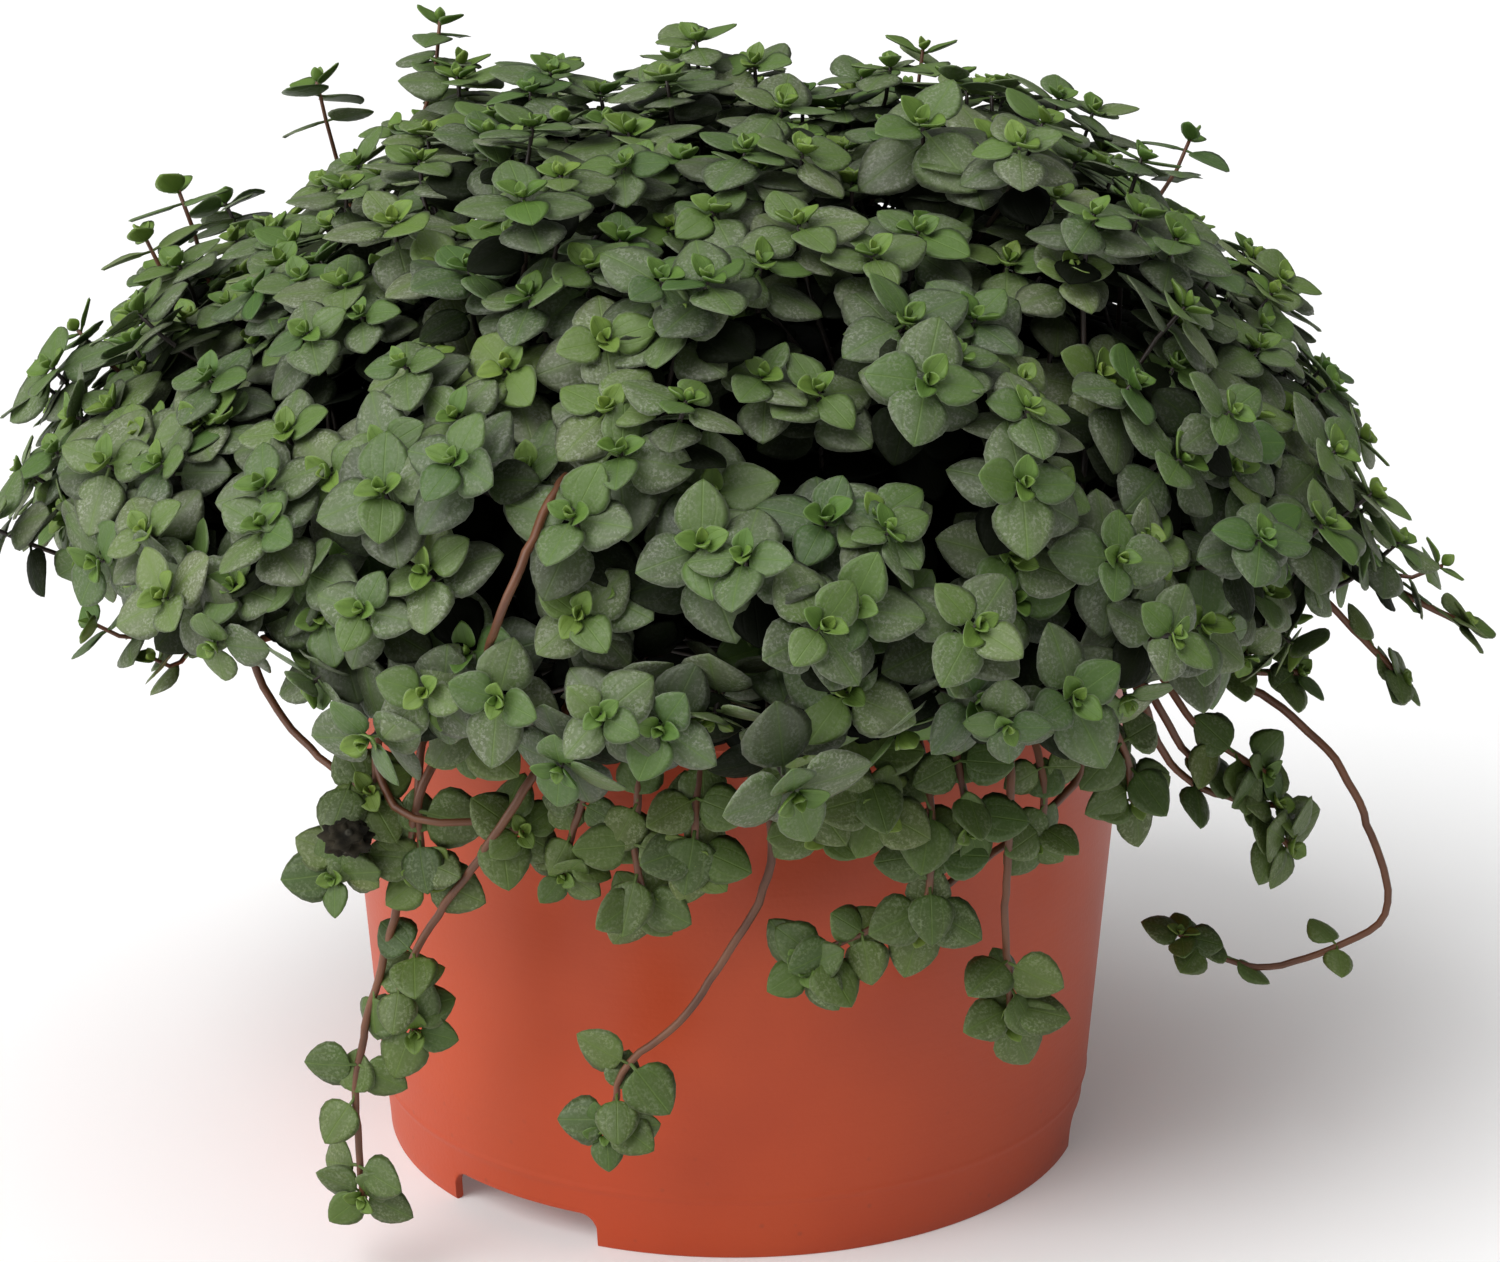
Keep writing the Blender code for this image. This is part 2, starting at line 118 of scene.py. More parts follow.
def capped_faces(rows, columns):
    """The same grid closed by a fan over its first row and one under its last; the fans' middle
    points come after the grid's."""
    ring = np.arange(columns)
    after = (ring + 1) % columns
    last = (rows - 1) * columns
    top = np.stack((np.full(columns, rows * columns), ring, after), axis=-1)
    under = np.stack((np.full(columns, rows * columns + 1), last + after, last + ring), axis=-1)
    return turned_faces(rows, columns), top, under


def notch_rise(azimuth):
    """How far the foot's edge is lifted at each azimuth: the notch's height inside a notch,
    nothing outside, and a quarter circle at each upper corner."""
    away = np.min([np.abs((azimuth - centre + np.pi) % (2 * np.pi) - np.pi)
                   for centre in NOTCH_AZIMUTHS], axis=0) * FOOT_RADIUS
    inside = NOTCH_HALF_WIDTH - away
    corner = np.clip(inside / NOTCH_CORNER, 0.0, 1.0)
    rounding = NOTCH_CORNER * (1.0 - np.sqrt(1.0 - (1.0 - corner) ** 2))
    return np.where(inside <= 0.0, 0.0, NOTCH_HEIGHT - rounding)


def pot_azimuths():
    """Even azimuths, with closer ones where the notches' sides and corners are."""
    even = np.linspace(-np.pi, np.pi, 240, endpoint=False)
    edge = NOTCH_HALF_WIDTH - np.concatenate(([-0.00002, 0.00002],
                                              NOTCH_CORNER * np.linspace(0.06, 1.0, 7)))
    close = np.concatenate([centre + side * edge / FOOT_RADIUS
                            for centre in NOTCH_AZIMUTHS for side in (-1.0, 1.0)])
    close = (close + np.pi) % (2 * np.pi) - np.pi
    clear = [np.min(np.abs(close - azimuth)) > 0.004 for azimuth in even]
    return np.sort(np.concatenate((even[clear], close)))


def pot_shell():
    """Rings of (radius, height) down the shell from the floor's middle inside, up the inner side,
    over the lip, down the outer side and back under the floor; the foot's edge follows the
    notches."""
    azimuth = pot_azimuths()
    lip_bottom = POT_HEIGHT - LIP_HEIGHT
    neck = float(side_radius(lip_bottom))
    floor_top = FLOOR_LEVEL + WALL
    turn = np.linspace(0.0, np.pi, 9)
    lip_round = [(RIM_RADIUS - WALL / 2 - WALL / 2 * math.cos(t),
                  POT_HEIGHT - WALL / 3 + WALL / 3 * math.sin(t)) for t in turn]
    inner = [(r, floor_top) for r in FLOOR_RINGS]
    inner_side = [(float(side_radius(z)) - WALL, z)
                  for z in np.linspace(floor_top + 0.0006, lip_bottom - 0.0004, 9)]
    step_in = [(neck - WALL * 0.8, lip_bottom + 0.0004),
               (RIM_RADIUS - WALL, lip_bottom + WALL), (RIM_RADIUS - WALL, lip_bottom + LIP_STEP)]
    lip_out = [(RIM_RADIUS, POT_HEIGHT - WALL), (RIM_RADIUS, lip_bottom + EDGE_SOFTNESS),
               (RIM_RADIUS - EDGE_SOFTNESS, lip_bottom), (neck + EDGE_SOFTNESS, lip_bottom),
               (neck, lip_bottom - EDGE_SOFTNESS)]
    outer_side = [(float(side_radius(z)), z)
                  for z in np.linspace(lip_bottom - 0.001, RIDGE_LEVEL + 0.0006, 24)]
    ridge_radius = float(side_radius(RIDGE_LEVEL))
    ridge = [(ridge_radius + 0.00002, RIDGE_LEVEL + 0.0002),
             (ridge_radius + RIDGE_STEP * 0.35, RIDGE_LEVEL - 0.0001),
             (ridge_radius + RIDGE_STEP * 0.3, RIDGE_LEVEL - 0.0004),
             (ridge_radius - RIDGE_STEP * 0.7, RIDGE_LEVEL - 0.0009),
             (ridge_radius - RIDGE_STEP, RIDGE_LEVEL - 0.0014)]
    fixed = inner + inner_side + step_in + lip_round + lip_out + outer_side + ridge
    rings = [(np.full_like(azimuth, r), np.full_like(azimuth, z)) for r, z in fixed]
    rise = notch_rise(azimuth)
    foot_out = FOOT_RADIUS - RIDGE_STEP
    foot_in = foot_out - WALL
    slope = (side_radius(RIDGE_LEVEL) - FOOT_RADIUS) / RIDGE_LEVEL
    over_notch = np.maximum(rise + 0.0010, 0.0028)
    rings += [(foot_out + slope * over_notch, over_notch),
              (foot_out + slope * (rise + 0.0004), rise + 0.0004),
              (foot_out + slope * (rise + 0.0001) - 0.0001, rise + 0.0001),
              (foot_out + slope * rise - EDGE_SOFTNESS, rise),
              (foot_in + slope * rise + EDGE_SOFTNESS, rise),
              (foot_in + slope * rise, rise + EDGE_SOFTNESS)]
    rings += [(np.full_like(azimuth, r), np.full_like(azimuth, FLOOR_LEVEL))
              for r in (foot_in + 0.0004, *FLOOR_RINGS[::-1])]
    radius, height = np.array(rings).transpose(1, 0, 2)
    points = np.concatenate((around(azimuth, radius, height).reshape(-1, 3),
                             [floor_top * UP, FLOOR_LEVEL * UP]))
    return points, capped_faces(*radius.shape)


def feed(links, socket, value):
    """Gives a socket its value: another socket, a colour or a number."""
    if isinstance(value, bpy.types.NodeSocket):
        links.new(value, socket)
    elif isinstance(value, tuple):
        socket.default_value = (*value, 1.0)
    else:
        socket.default_value = value


def texture(nodes, links, kind, scale, **values):
    """A noise or cell texture over Object coordinates, with a scale and other values."""
    place = nodes.new("ShaderNodeTexCoord")
    made = nodes.new(kind)
    links.new(place.outputs["Object"], made.inputs["Vector"])
    for key, value in {"Scale": scale, **values}.items():
        feed(links, made.inputs[key], value)
    return made.outputs["Distance" if kind == "ShaderNodeTexVoronoi" else "Fac"]


def maths(nodes, links, operation, *values):
    """A Math node; each value is a number or a socket."""
    made = nodes.new("ShaderNodeMath")
    made.operation = operation
    for socket, value in zip(made.inputs, values):
        feed(links, socket, value)
    return made.outputs[0]


def colour_mix(nodes, links, factor, first, second):
    """A colour Mix node; each of its three inputs is a number, a colour or a socket."""
    mix = nodes.new("ShaderNodeMix")
    mix.data_type = "RGBA"
    for socket, value in ((mix.inputs[0], factor), (mix.inputs[6], first),
                          (mix.inputs[7], second)):
        feed(links, socket, value)
    return mix.outputs[2]


def spread(nodes, links, value, low, high, to_low=0.0, to_high=1.0):
    """A Map Range node from low..high to to_low..to_high, held at its ends."""
    ranged = nodes.new("ShaderNodeMapRange")
    for key, number in (("Value", value), ("From Min", low), ("From Max", high),
                        ("To Min", to_low), ("To Max", to_high)):
        feed(links, ranged.inputs[key], number)
    return ranged.outputs["Result"]


def relief(nodes, links, shader, height, strength, distance):
    """A Bump node that turns a height into the shader's normal."""
    bump = nodes.new("ShaderNodeBump")
    bump.inputs["Strength"].default_value = strength
    bump.inputs["Distance"].default_value = distance
    links.new(height, bump.inputs["Height"])
    links.new(bump.outputs["Normal"], shader.inputs["Normal"])


def new_material(name):
    """A Principled material and its parts: material, nodes, links, shader."""
    made = bpy.data.materials.new(name)
    made.use_nodes = True
    nodes = made.node_tree.nodes
    return made, nodes, made.node_tree.links, nodes["Principled BSDF"]


def pot_plastic():
    """Terracotta-coloured plastic: matte, slightly cloudy, with a fine moulded grain, faint turned
    lines, dusty specks and a darker, dirtier foot."""
    made, nodes, links, shader = new_material("terracotta_plastic")
    place = nodes.new("ShaderNodeTexCoord")
    axis = nodes.new("ShaderNodeSeparateXYZ")
    links.new(place.outputs["Object"], axis.inputs["Vector"])
    cloud = texture(nodes, links, "ShaderNodeTexNoise", 38.0, Detail=4.0)
    colour = colour_mix(nodes, links, spread(nodes, links, cloud, 0.35, 0.65),
                        (0.425, 0.048, 0.008), (0.460, 0.059, 0.012))
    specks = texture(nodes, links, "ShaderNodeTexVoronoi", 260.0)
    speck = spread(nodes, links, specks, 0.05, 0.12, 0.35, 0.0)
    foot = spread(nodes, links, axis.outputs["Z"], 0.004, 0.022, 1.0, 0.12)
    dirt = maths(nodes, links, "MULTIPLY", speck, foot)
    colour = colour_mix(nodes, links, dirt, colour, (0.19, 0.042, 0.022))
    links.new(colour, shader.inputs["Base Color"])
    links.new(spread(nodes, links, cloud, 0.3, 0.7, 0.42, 0.52), shader.inputs["Roughness"])
    lines = nodes.new("ShaderNodeTexNoise")
    lines.noise_dimensions = "1D"
    lines.inputs["Scale"].default_value = 900.0
    links.new(axis.outputs["Z"], lines.inputs["W"])
    grain = texture(nodes, links, "ShaderNodeTexNoise", 1400.0, Detail=3.0)
    height = maths(nodes, links, "MULTIPLY_ADD", lines.outputs["Fac"], 0.6, grain)
    relief(nodes, links, shader, height, 0.18, 0.0002)
    shader.inputs["Specular IOR Level"].default_value = 0.38
    return made


DRAIN_HOLES = 6
DRAIN_RADIUS = 0.0028
DRAIN_RING = 0.034


def drained(solid):
    """The shell with its round drain holes cut through the floor by six closed plugs."""
    turn = np.linspace(0.0, 2 * np.pi, 28, endpoint=False)
    points, quads, ends = [], [], []
    for number in range(DRAIN_HOLES):
        middle = around(np.array(number * 2 * np.pi / DRAIN_HOLES), DRAIN_RING, 0.0)
        ring = around(turn, DRAIN_RADIUS, 0.0) + middle
        first = number * 2 * len(turn)
        points += [ring + UP * (FLOOR_LEVEL + 2 * WALL), ring + UP * (FLOOR_LEVEL - WALL)]
        quads.append(turned_faces(2, len(turn), first))
        ends += [first + np.arange(len(turn)), first + len(turn) + np.arange(len(turn))[::-1]]
    plugs = mesh_piece("plugs", np.concatenate(points), (np.concatenate(quads), np.array(ends)))
    cut = solid.modifiers.new("drain", "BOOLEAN")
    cut.operation = "DIFFERENCE"
    cut.solver = "EXACT"
    cut.object = plugs
    drilled = solid.evaluated_get(bpy.context.evaluated_depsgraph_get())
    solid.data, whole = bpy.data.meshes.new_from_object(drilled), solid.data
    solid.modifiers.clear()
    bpy.data.objects.remove(plugs)
    bpy.data.meshes.remove(whole)


pot = mesh_piece("nursery_pot", *pot_shell())
drained(pot)
pot.data.set_sharp_from_angle(angle=SHARP_ANGLE)
pot.data.materials.append(pot_plastic())
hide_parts("pot")
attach(pot, "root")


# ---- Soil ---------------------------------------------------------------------------------------
# Dark moist peat with crumbs, filling the pot to a little under its lip. It only lies in the pot.

SOIL_LOW, SOIL_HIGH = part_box("soil")
SOIL_GAP = 0.0003
SOIL_EDGE_LEVEL = POT_HEIGHT - 0.0080


def crumbs(x, y):
    """Lumpy height: sines of many directions and wavelengths, from 12 mm down to 1.5 mm, each
    with its own phase, and sharper at the top than in the hollows."""
    draw = np.random.default_rng(7)
    height = np.zeros_like(x)
    for wavelength in (0.012, 0.009, 0.006, 0.0045, 0.003, 0.0022, 0.0015):
        for _ in range(5):
            turn, phase = draw.uniform(0, 2 * np.pi, 2)
            run = (x * math.cos(turn) + y * math.sin(turn)) * 2 * np.pi / wavelength + phase
            height += np.sin(run + np.sin(run * 0.37 + phase)) * wavelength * 0.028
    return height


def soil_body():
    """Rings from the middle of the lumpy top out to the wall, then down the taper to the floor."""
    columns = 200
    azimuth = np.linspace(0, 2 * np.pi, columns, endpoint=False)
    bottom = float(SOIL_LOW.z)
    edge = float(side_radius(SOIL_EDGE_LEVEL)) - WALL - SOIL_GAP
    radii = np.concatenate((np.linspace(0.0006, 1.0, 64) ** 0.9 * edge,
                            [edge, float(side_radius(bottom)) - WALL - SOIL_GAP, 0.020]))
    radius = np.repeat(radii[:, None], columns, axis=1)
    x, y = radius * np.sin(azimuth), -radius * np.cos(azimuth)
    inner = np.clip((edge - radius) / 0.003, 0.0, 1.0)
    height = SOIL_EDGE_LEVEL + inner * (0.0015 * (1 - (radius / edge) ** 2) + crumbs(x, y))
    height = np.minimum(height, float(SOIL_HIGH.z))
    height[-3] = SOIL_EDGE_LEVEL - 0.0006
    height[-2:] = bottom
    points = np.stack((x, y, height), axis=-1).reshape(-1, 3)
    middle = points[:columns].mean(axis=0)
    return np.concatenate((points, [middle, bottom * UP])), capped_faces(len(radii), columns)


def peat():
    """Near-black brown peat with paler fibres and a few pale grains."""
    made, nodes, links, shader = new_material("peat")
    clod = texture(nodes, links, "ShaderNodeTexNoise", 420.0, Detail=6.0)
    colour = colour_mix(nodes, links, spread(nodes, links, clod, 0.35, 0.7),
                        (0.008, 0.007, 0.005), (0.036, 0.030, 0.019))
    grains = texture(nodes, links, "ShaderNodeTexVoronoi", 300.0)
    grain = spread(nodes, links, grains, 0.08, 0.16, 0.55, 0.0)
    colour = colour_mix(nodes, links, grain, colour, (0.10, 0.095, 0.075))
    links.new(colour, shader.inputs["Base Color"])
    shader.inputs["Roughness"].default_value = 0.9
    shader.inputs["Specular IOR Level"].default_value = 0.15
    relief(nodes, links, shader, clod, 0.8, 0.0006)
    return made


soil = mesh_piece("peat_soil", *soil_body())
PEAT = peat()
soil.data.materials.append(PEAT)
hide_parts("soil")
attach(soil, "root")


# ---- Crown shoots -------------------------------------------------------------------------------
# Each shoot is rooted in the soil, climbs as a thin reddish stem and branches into many short
# stalks. Each stalk ends in a rosette: crossed pairs of round grey-green leaves, the youngest
# pair small, upright and yellow-green, the oldest flat and greyer a little way down the stalk.

CROWN_SHOOTS = 28
CROWN_WAIST = POT_HEIGHT + 0.012
CROWN_REACH = RIM_RADIUS + 0.034
CROWN_RISE = 0.062
CROWN_SKIRT = 0.008
SKIRT_TUCK = 0.012
CROWN_LEAN = np.array([-0.0045, 0.0, 0.0])
CROWN_SQUARENESS = 2.3
ROSETTE_COUNT = 610
INNER_LAYERS = ((270, 0.018), (180, 0.032), (80, 0.050))
LEAF_LENGTH = 0.0067
LEAF_WIDTH = 0.0066
LEAF_THICKNESS = 0.00022
LEAF_STALK = 0.16
STALK_WIDTH = 0.07
MIDRIB_DEPTH = 0.018
TRUNK_RADII = (0.00075, 0.00055)
BRANCH_RADII = (0.00052, 0.00030)
GOLDEN_ANGLE = math.pi * (3.0 - math.sqrt(5.0))
MM = 0.001


def unit(vectors):
    """Each vector at length 1."""
    return vectors / np.linalg.norm(vectors, axis=-1, keepdims=True)


def dome(share, azimuth, inset=0.0):
    """Where a share of the crown's area, from its top down to its skirt, lies at an azimuth, and
    which way its surface faces there.

    The outline is a squarish oval over the waist and a short tucked-in skirt under it. Areas are
    summed along the outline, so even shares give evenly spread rosettes. An inset makes the
    whole outline that much smaller.
    """
    reach, rise = CROWN_REACH - inset, CROWN_RISE - inset
    angle = np.linspace(0.0, np.pi / 2, 160)
    power = 2.0 / CROWN_SQUARENESS
    radius = reach * np.sin(angle) ** power
    height = rise * np.cos(angle) ** power
    tuck = np.linspace(0.0, 1.0, 30)[1:]
    radius = np.concatenate((radius, reach - SKIRT_TUCK * tuck ** 2))
    height = np.concatenate((height, -CROWN_SKIRT * tuck))
    area = np.concatenate(([0.0], np.cumsum((radius[1:] + radius[:-1]) / 2
                                            * np.hypot(np.diff(radius), np.diff(height)))))
    r, h, slope_r, slope_h = (np.interp(share, area / area[-1], values) for values in
                              (radius, height, np.gradient(radius), np.gradient(height)))
    normal = unit(around(azimuth, -slope_h, slope_r))
    return around(azimuth, r, CROWN_WAIST + h) + CROWN_LEAN, normal


def bezier(start, first, second, end, steps):
    """Points at even steps of t on cubic curves, as an array (curves, steps + 1, 3)."""
    t = np.linspace(0.0, 1.0, steps + 1)[None, :, None]
    start, first, second, end = (np.asarray(p)[:, None, :] for p in (start, first, second, end))
    return (start * (1 - t) ** 3 + first * 3 * (1 - t) ** 2 * t + second * 3 * (1 - t) * t ** 2
            + end * t ** 3)


def tube_faces(stations, sides):
    """Quads of a tube of rings, facing out when a ring turns right-handed about the way on, and
    its two end fans, whose middle points come after the rings."""
    row, column = np.meshgrid(np.arange(stations - 1), np.arange(sides), indexing="ij")
    after = (column + 1) % sides
    quads = np.stack((row * sides + column, row * sides + after, (row + 1) * sides + after,
                      (row + 1) * sides + column), axis=-1).reshape(-1, 4)
    ring = np.arange(sides)
    following = (ring + 1) % sides
    foot = stations * sides
    last = (stations - 1) * sides
    ends = np.concatenate((
        np.stack((np.full(sides, foot), following, ring), axis=-1),
        np.stack((np.full(sides, foot + 1), last + ring, last + following), axis=-1)))
    return quads, ends


def repeated(faces, count, each):
    """The faces of one item for many items alike, each item having so many points."""
    shift = (np.arange(count) * each)[:, None, None]
    return tuple((block[None] + shift).reshape(-1, block.shape[1]) for block in faces)


def stem_tubes(paths, radii, sides):
    """Closed round stems along many paths at once, as points, quads and end fans.

    paths is (stems, stations, 3) and radii (stems, stations). At each station the ring lies
    across the path, in a frame carried on from the station before it without twisting.
    """
    stems, stations, _ = paths.shape
    along = unit(np.gradient(paths, axis=1))
    guess = np.where(np.abs(along[:, :1, 2:]) > 0.8, [[[1.0, 0.0, 0.0]]], [[[0.0, 0.0, 1.0]]])
    side = unit(np.cross(along[:, 0], guess[:, 0]))
    rings = []
    turn = np.linspace(0.0, 2 * np.pi, sides, endpoint=False)
    for station in range(stations):
        axis = along[:, station]
        side = unit(side - axis * np.sum(side * axis, axis=-1, keepdims=True))
        other = np.cross(axis, side)
        ring = (side[:, None] * np.cos(turn)[None, :, None]
                + other[:, None] * np.sin(turn)[None, :, None])
        rings.append(paths[:, station, None] + ring * radii[:, station, None, None])
    points = np.stack(rings, axis=1).reshape(stems, stations * sides, 3)
    ends = np.stack((paths[:, 0] - along[:, 0] * radii[:, :1] * 0.5,
                     paths[:, -1] + along[:, -1] * radii[:, -1:] * 0.5), axis=1)
    points = np.concatenate((points, ends), axis=1)
    return (points.reshape(-1, 3),
            *repeated(tube_faces(stations, sides), stems, points.shape[1]))


def joined_stems(name, tubes):
    """One stem piece from several sets of tubes, each given as its points, quads and fans."""
    shifts = np.cumsum([0] + [len(points) for points, _, _ in tubes[:-1]])
    faces = tuple(np.concatenate([tube[block] + shift for tube, shift in zip(tubes, shifts)])
                  for block in (1, 2))
    made = mesh_piece(name, np.concatenate([points for points, _, _ in tubes]), faces)
    made.data.materials.append(STEM)
    return made


def mark(mesh, key, values):
    """One number at each point of a mesh, under a name that its material reads."""
    layer = mesh.attributes.new(key, "FLOAT", "POINT")
    layer.data.foreach_set("value", np.asarray(values, np.float32))


LEAF_STATIONS = np.array([-0.14, 0.0, 0.04, 0.13, 0.27, 0.45, 0.64, 0.81, 0.93])
LEAF_SIDES = 8
BLADE_START = 0.04
PAINTED_SHADE_AGE = 1.5


def leaf_blades(base, outward, upward, length, width, cup, bend):
    """Many leaves at once, as their points, with their blade coordinates and rim.

    A leaf is a flattened tube: s runs from the stalk at -0.14 through the blade's base at 0 to
    its tip at 1, and t across it from -1 to 1. Half the width is w(s) = 2.33 s^0.46 (1 - s)^0.82
    of half the full width, which is round with a short point, and the stalk is a thin strip. The
    blade is thickest in the middle, its sides lift with t squared by the cup, and its length
    curves down with s squared by the bend.
    """
    count = len(base)
    side = np.cross(upward, outward)
    s = LEAF_STATIONS
    inside = np.clip(s, 0.0, 1.0)
    share = np.maximum(2.33 * inside ** 0.46 * (1.0 - inside) ** 0.82, STALK_WIDTH)
    turn = np.linspace(0.0, 2 * np.pi, LEAF_SIDES, endpoint=False)
    t = np.cos(turn)
    across = share[None, :, None] * t[None, None, :] * width[:, None, None] / 2
    thick = LEAF_THICKNESS * np.sin(turn)[None, None, :] * (1.0 - 0.35 * t ** 2)[None, None, :]
    thick = thick * np.where(s < BLADE_START, 0.9, 1.0)[None, :, None]
    ahead = s[None, :, None] * length[:, None, None] * np.ones_like(t)[None, None, :]
    blade = inside[None, :, None]
    midrib = (np.abs(t) < 0.1) * (blade > BLADE_START)
    crease = -MIDRIB_DEPTH * length[:, None, None] * midrib
    lift = (cup[:, None, None] * (across ** 2) / (width[:, None, None] / 2)
            - bend[:, None, None] * length[:, None, None] * blade ** 2
            + 0.5 * bend[:, None, None] * length[:, None, None] * blade + crease)
    body = (base[:, None, None] + ahead[..., None] * outward[:, None, None]
            + across[..., None] * side[:, None, None]
            + (lift + thick)[..., None] * upward[:, None, None])
    tip_lift = (-0.5 * bend * length)[:, None]
    root = base + outward * (s[0] - 0.02) * length[:, None]
    tip = base + outward * length[:, None] + upward * tip_lift
    points = np.concatenate((body.reshape(count, -1, 3), root[:, None], tip[:, None]), axis=1)
    blade_s = np.concatenate((np.repeat(s, LEAF_SIDES), [s[0], 1.0]))
    blade_t = np.concatenate((np.tile(t, len(s)) * np.repeat(share, LEAF_SIDES), [0.0, 0.0]))
    rim = np.concatenate((np.tile(np.abs(t), len(s)), [1.0, 1.0]))
    return points, blade_s, blade_t, rim


def leaf_piece(name, leaves, material):
    """One piece from a table of leaves, with its blade coordinates, rim, age and tone.

    The map named OFBake gives each leaf two cells of a square sheet, one for its upper face and
    one for its lower, so that a baked picture keeps every leaf apart.
    """
    points, blade_s, blade_t, rim = leaf_blades(
        *(leaves[key] for key in ("base", "outward", "upward", "length", "width", "cup", "bend")))
    count, each, _ = points.shape
    quads, ends = tube_faces(len(LEAF_STATIONS), LEAF_SIDES)
    faces = repeated((quads, ends), count, each)
    made = mesh_piece(name, points.reshape(-1, 3), faces)
    mesh = made.data
    corner_point = np.concatenate([block.ravel() for block in faces])
    leaf_of_corner = corner_point // each
    s, t = blade_s[corner_point % each], blade_t[corner_point % each]
    blade_map = mesh.uv_layers.new(name="blade")
    blade_map.data.foreach_set("uv", np.stack((s, t * 0.5 + 0.5), axis=-1).ravel())
    column = np.min(quads % LEAF_SIDES, axis=1)
    last_column = ((quads % LEAF_SIDES) == LEAF_SIDES - 1).any(axis=1)
    upper_quad = (column < LEAF_SIDES // 2) & ~last_column
    ring_end = np.arange(LEAF_SIDES) < LEAF_SIDES // 2
    upper = np.concatenate((np.tile(np.repeat(upper_quad, 4), count),
                            np.tile(np.repeat(np.tile(ring_end, 2), 3), count)))
    cells = math.ceil(math.sqrt(2 * count))
    cell = leaf_of_corner * 2 + ~upper
    margin = 0.08
    u = (cell % cells + margin + (1 - 2 * margin) * (s + LEAF_STALK) / (1 + LEAF_STALK)) / cells
    v = (cell // cells + margin + (1 - 2 * margin) * (t * 0.5 + 0.5)) / cells
    sheet = mesh.uv_layers.new(name="OFBake")
    sheet.data.foreach_set("uv", np.stack((u, v), axis=-1).ravel())
    for key, values in (("rim", np.tile(rim, count)), ("age_and_painted_shade", np.repeat(leaves["age_and_painted_shade"], each)),
                        ("tone", np.repeat(leaves["tone"], each))):
        mark(mesh, key, values)
    mesh.materials.append(material)
    # The second material is the painted-shade copy of the leaf, for leaves past the shade age.
    mesh.materials.append(PAINTED_SHADE_LEAF)
    shaded = (leaves["age_and_painted_shade"] > PAINTED_SHADE_AGE).astype(np.int32)
    mesh.polygons.foreach_set("material_index", np.concatenate((
        np.repeat(shaded, len(quads)), np.repeat(shaded, len(ends)))))
    return made


# A rosette's pairs: distance below its tip, length as a share of full size, rise above the
# stalk's cross plane in degrees, sideways cup, downward bend and age: from 0, new, to 1, full
# grown; above 1 the age is painted shade, blending the leaf towards near-black up to 1.9, and
# the two lowest pairs have it.
ROSETTE_PAIRS = np.array([
    (0.0001, 0.27, 56.0, 0.75, -0.35, 0.05),
    (0.0003, 0.46, 30.0, 0.55, -0.15, 0.25),
    (0.0005, 0.84, 9.0, 0.08, 0.08, 0.66),
    (0.0010, 1.06, 2.0, -0.12, 0.14, 0.90),
    (0.0030, 1.12, -4.0, -0.18, 0.18, 1.25),
    (0.0066, 1.04, -8.0, -0.16, 0.20, 1.80),
])


def rosette_leaves(tips, axes, paths, size, twist, draw, pairs=ROSETTE_PAIRS):
    """The leaves of many rosettes: for each tip, every pair's two leaves, a quarter turn apart
    from pair to pair, with small random turns, sizes and tilts."""
    count, kinds = len(tips), len(pairs)
    below, share, climb, cup, bend, age_and_painted_shade = pairs.T
    across = unit(np.cross(axes, np.array([0.31, 0.22, 0.93])))
    crossed = np.cross(axes, across)
    turn = (twist[:, None] + np.arange(kinds)[None] * np.pi / 2
            + draw.normal(0, 0.16, (count, kinds)))
    way = (across[:, None] * np.cos(turn)[..., None] + crossed[:, None] * np.sin(turn)[..., None])
    node = stations_back(paths, below[None] * size[:, None])
    way = way[:, :, None] * np.array([1.0, -1.0])[None, None, :, None]
    axis = axes[:, None, None] * np.ones_like(way)
    rise = np.radians(climb)[None, :, None] + draw.normal(0, 0.14, way.shape[:3])
    skew = draw.normal(0, 0.12, way.shape[:3])[..., None]
    outward = unit(way * np.cos(rise)[..., None] + axis * np.sin(rise)[..., None]
                   + skew * np.cross(axis, way))
    upward = unit(axis * np.cos(rise)[..., None] - way * np.sin(rise)[..., None])
    roll = draw.normal(0, 0.16, way.shape[:3])[..., None]
    upward = unit(upward + roll * np.cross(outward, upward))
    upward = unit(upward - outward * np.sum(outward * upward, axis=-1, keepdims=True))
    length = (LEAF_LENGTH * share[None, :, None] * size[:, None, None]
              * draw.normal(1.0, 0.07, way.shape[:3]))
    ratio = (LEAF_WIDTH / LEAF_LENGTH
             * (0.92 + 0.10 * np.minimum(age_and_painted_shade, 1.0))[None, :, None])
    width = length * ratio * draw.normal(1.0, 0.05, way.shape[:3])
    base = node[:, :, None] + outward * (LEAF_STALK * length)[..., None]
    whole = np.ones(way.shape[:3])
    tone = np.clip(draw.normal(0.5, 0.2, (count, 1, 1)) + draw.normal(0, 0.12, way.shape[:3]),
                   0.0, 1.0)
    return {
        "base": base.reshape(-1, 3), "outward": outward.reshape(-1, 3),
        "upward": upward.reshape(-1, 3), "length": length.ravel(), "width": width.ravel(),
        "cup": (cup[None, :, None] * whole + draw.normal(0, 0.06, whole.shape)).ravel(),
        "bend": (bend[None, :, None] * whole + draw.normal(0, 0.05, whole.shape)).ravel(),
        "age_and_painted_shade": np.clip(age_and_painted_shade[None, :, None] * whole + draw.normal(0, 0.07, whole.shape),
                       0, 2).ravel(),
        "tone": tone.ravel(),
        "owner": np.repeat(np.arange(count), kinds * 2),
    }


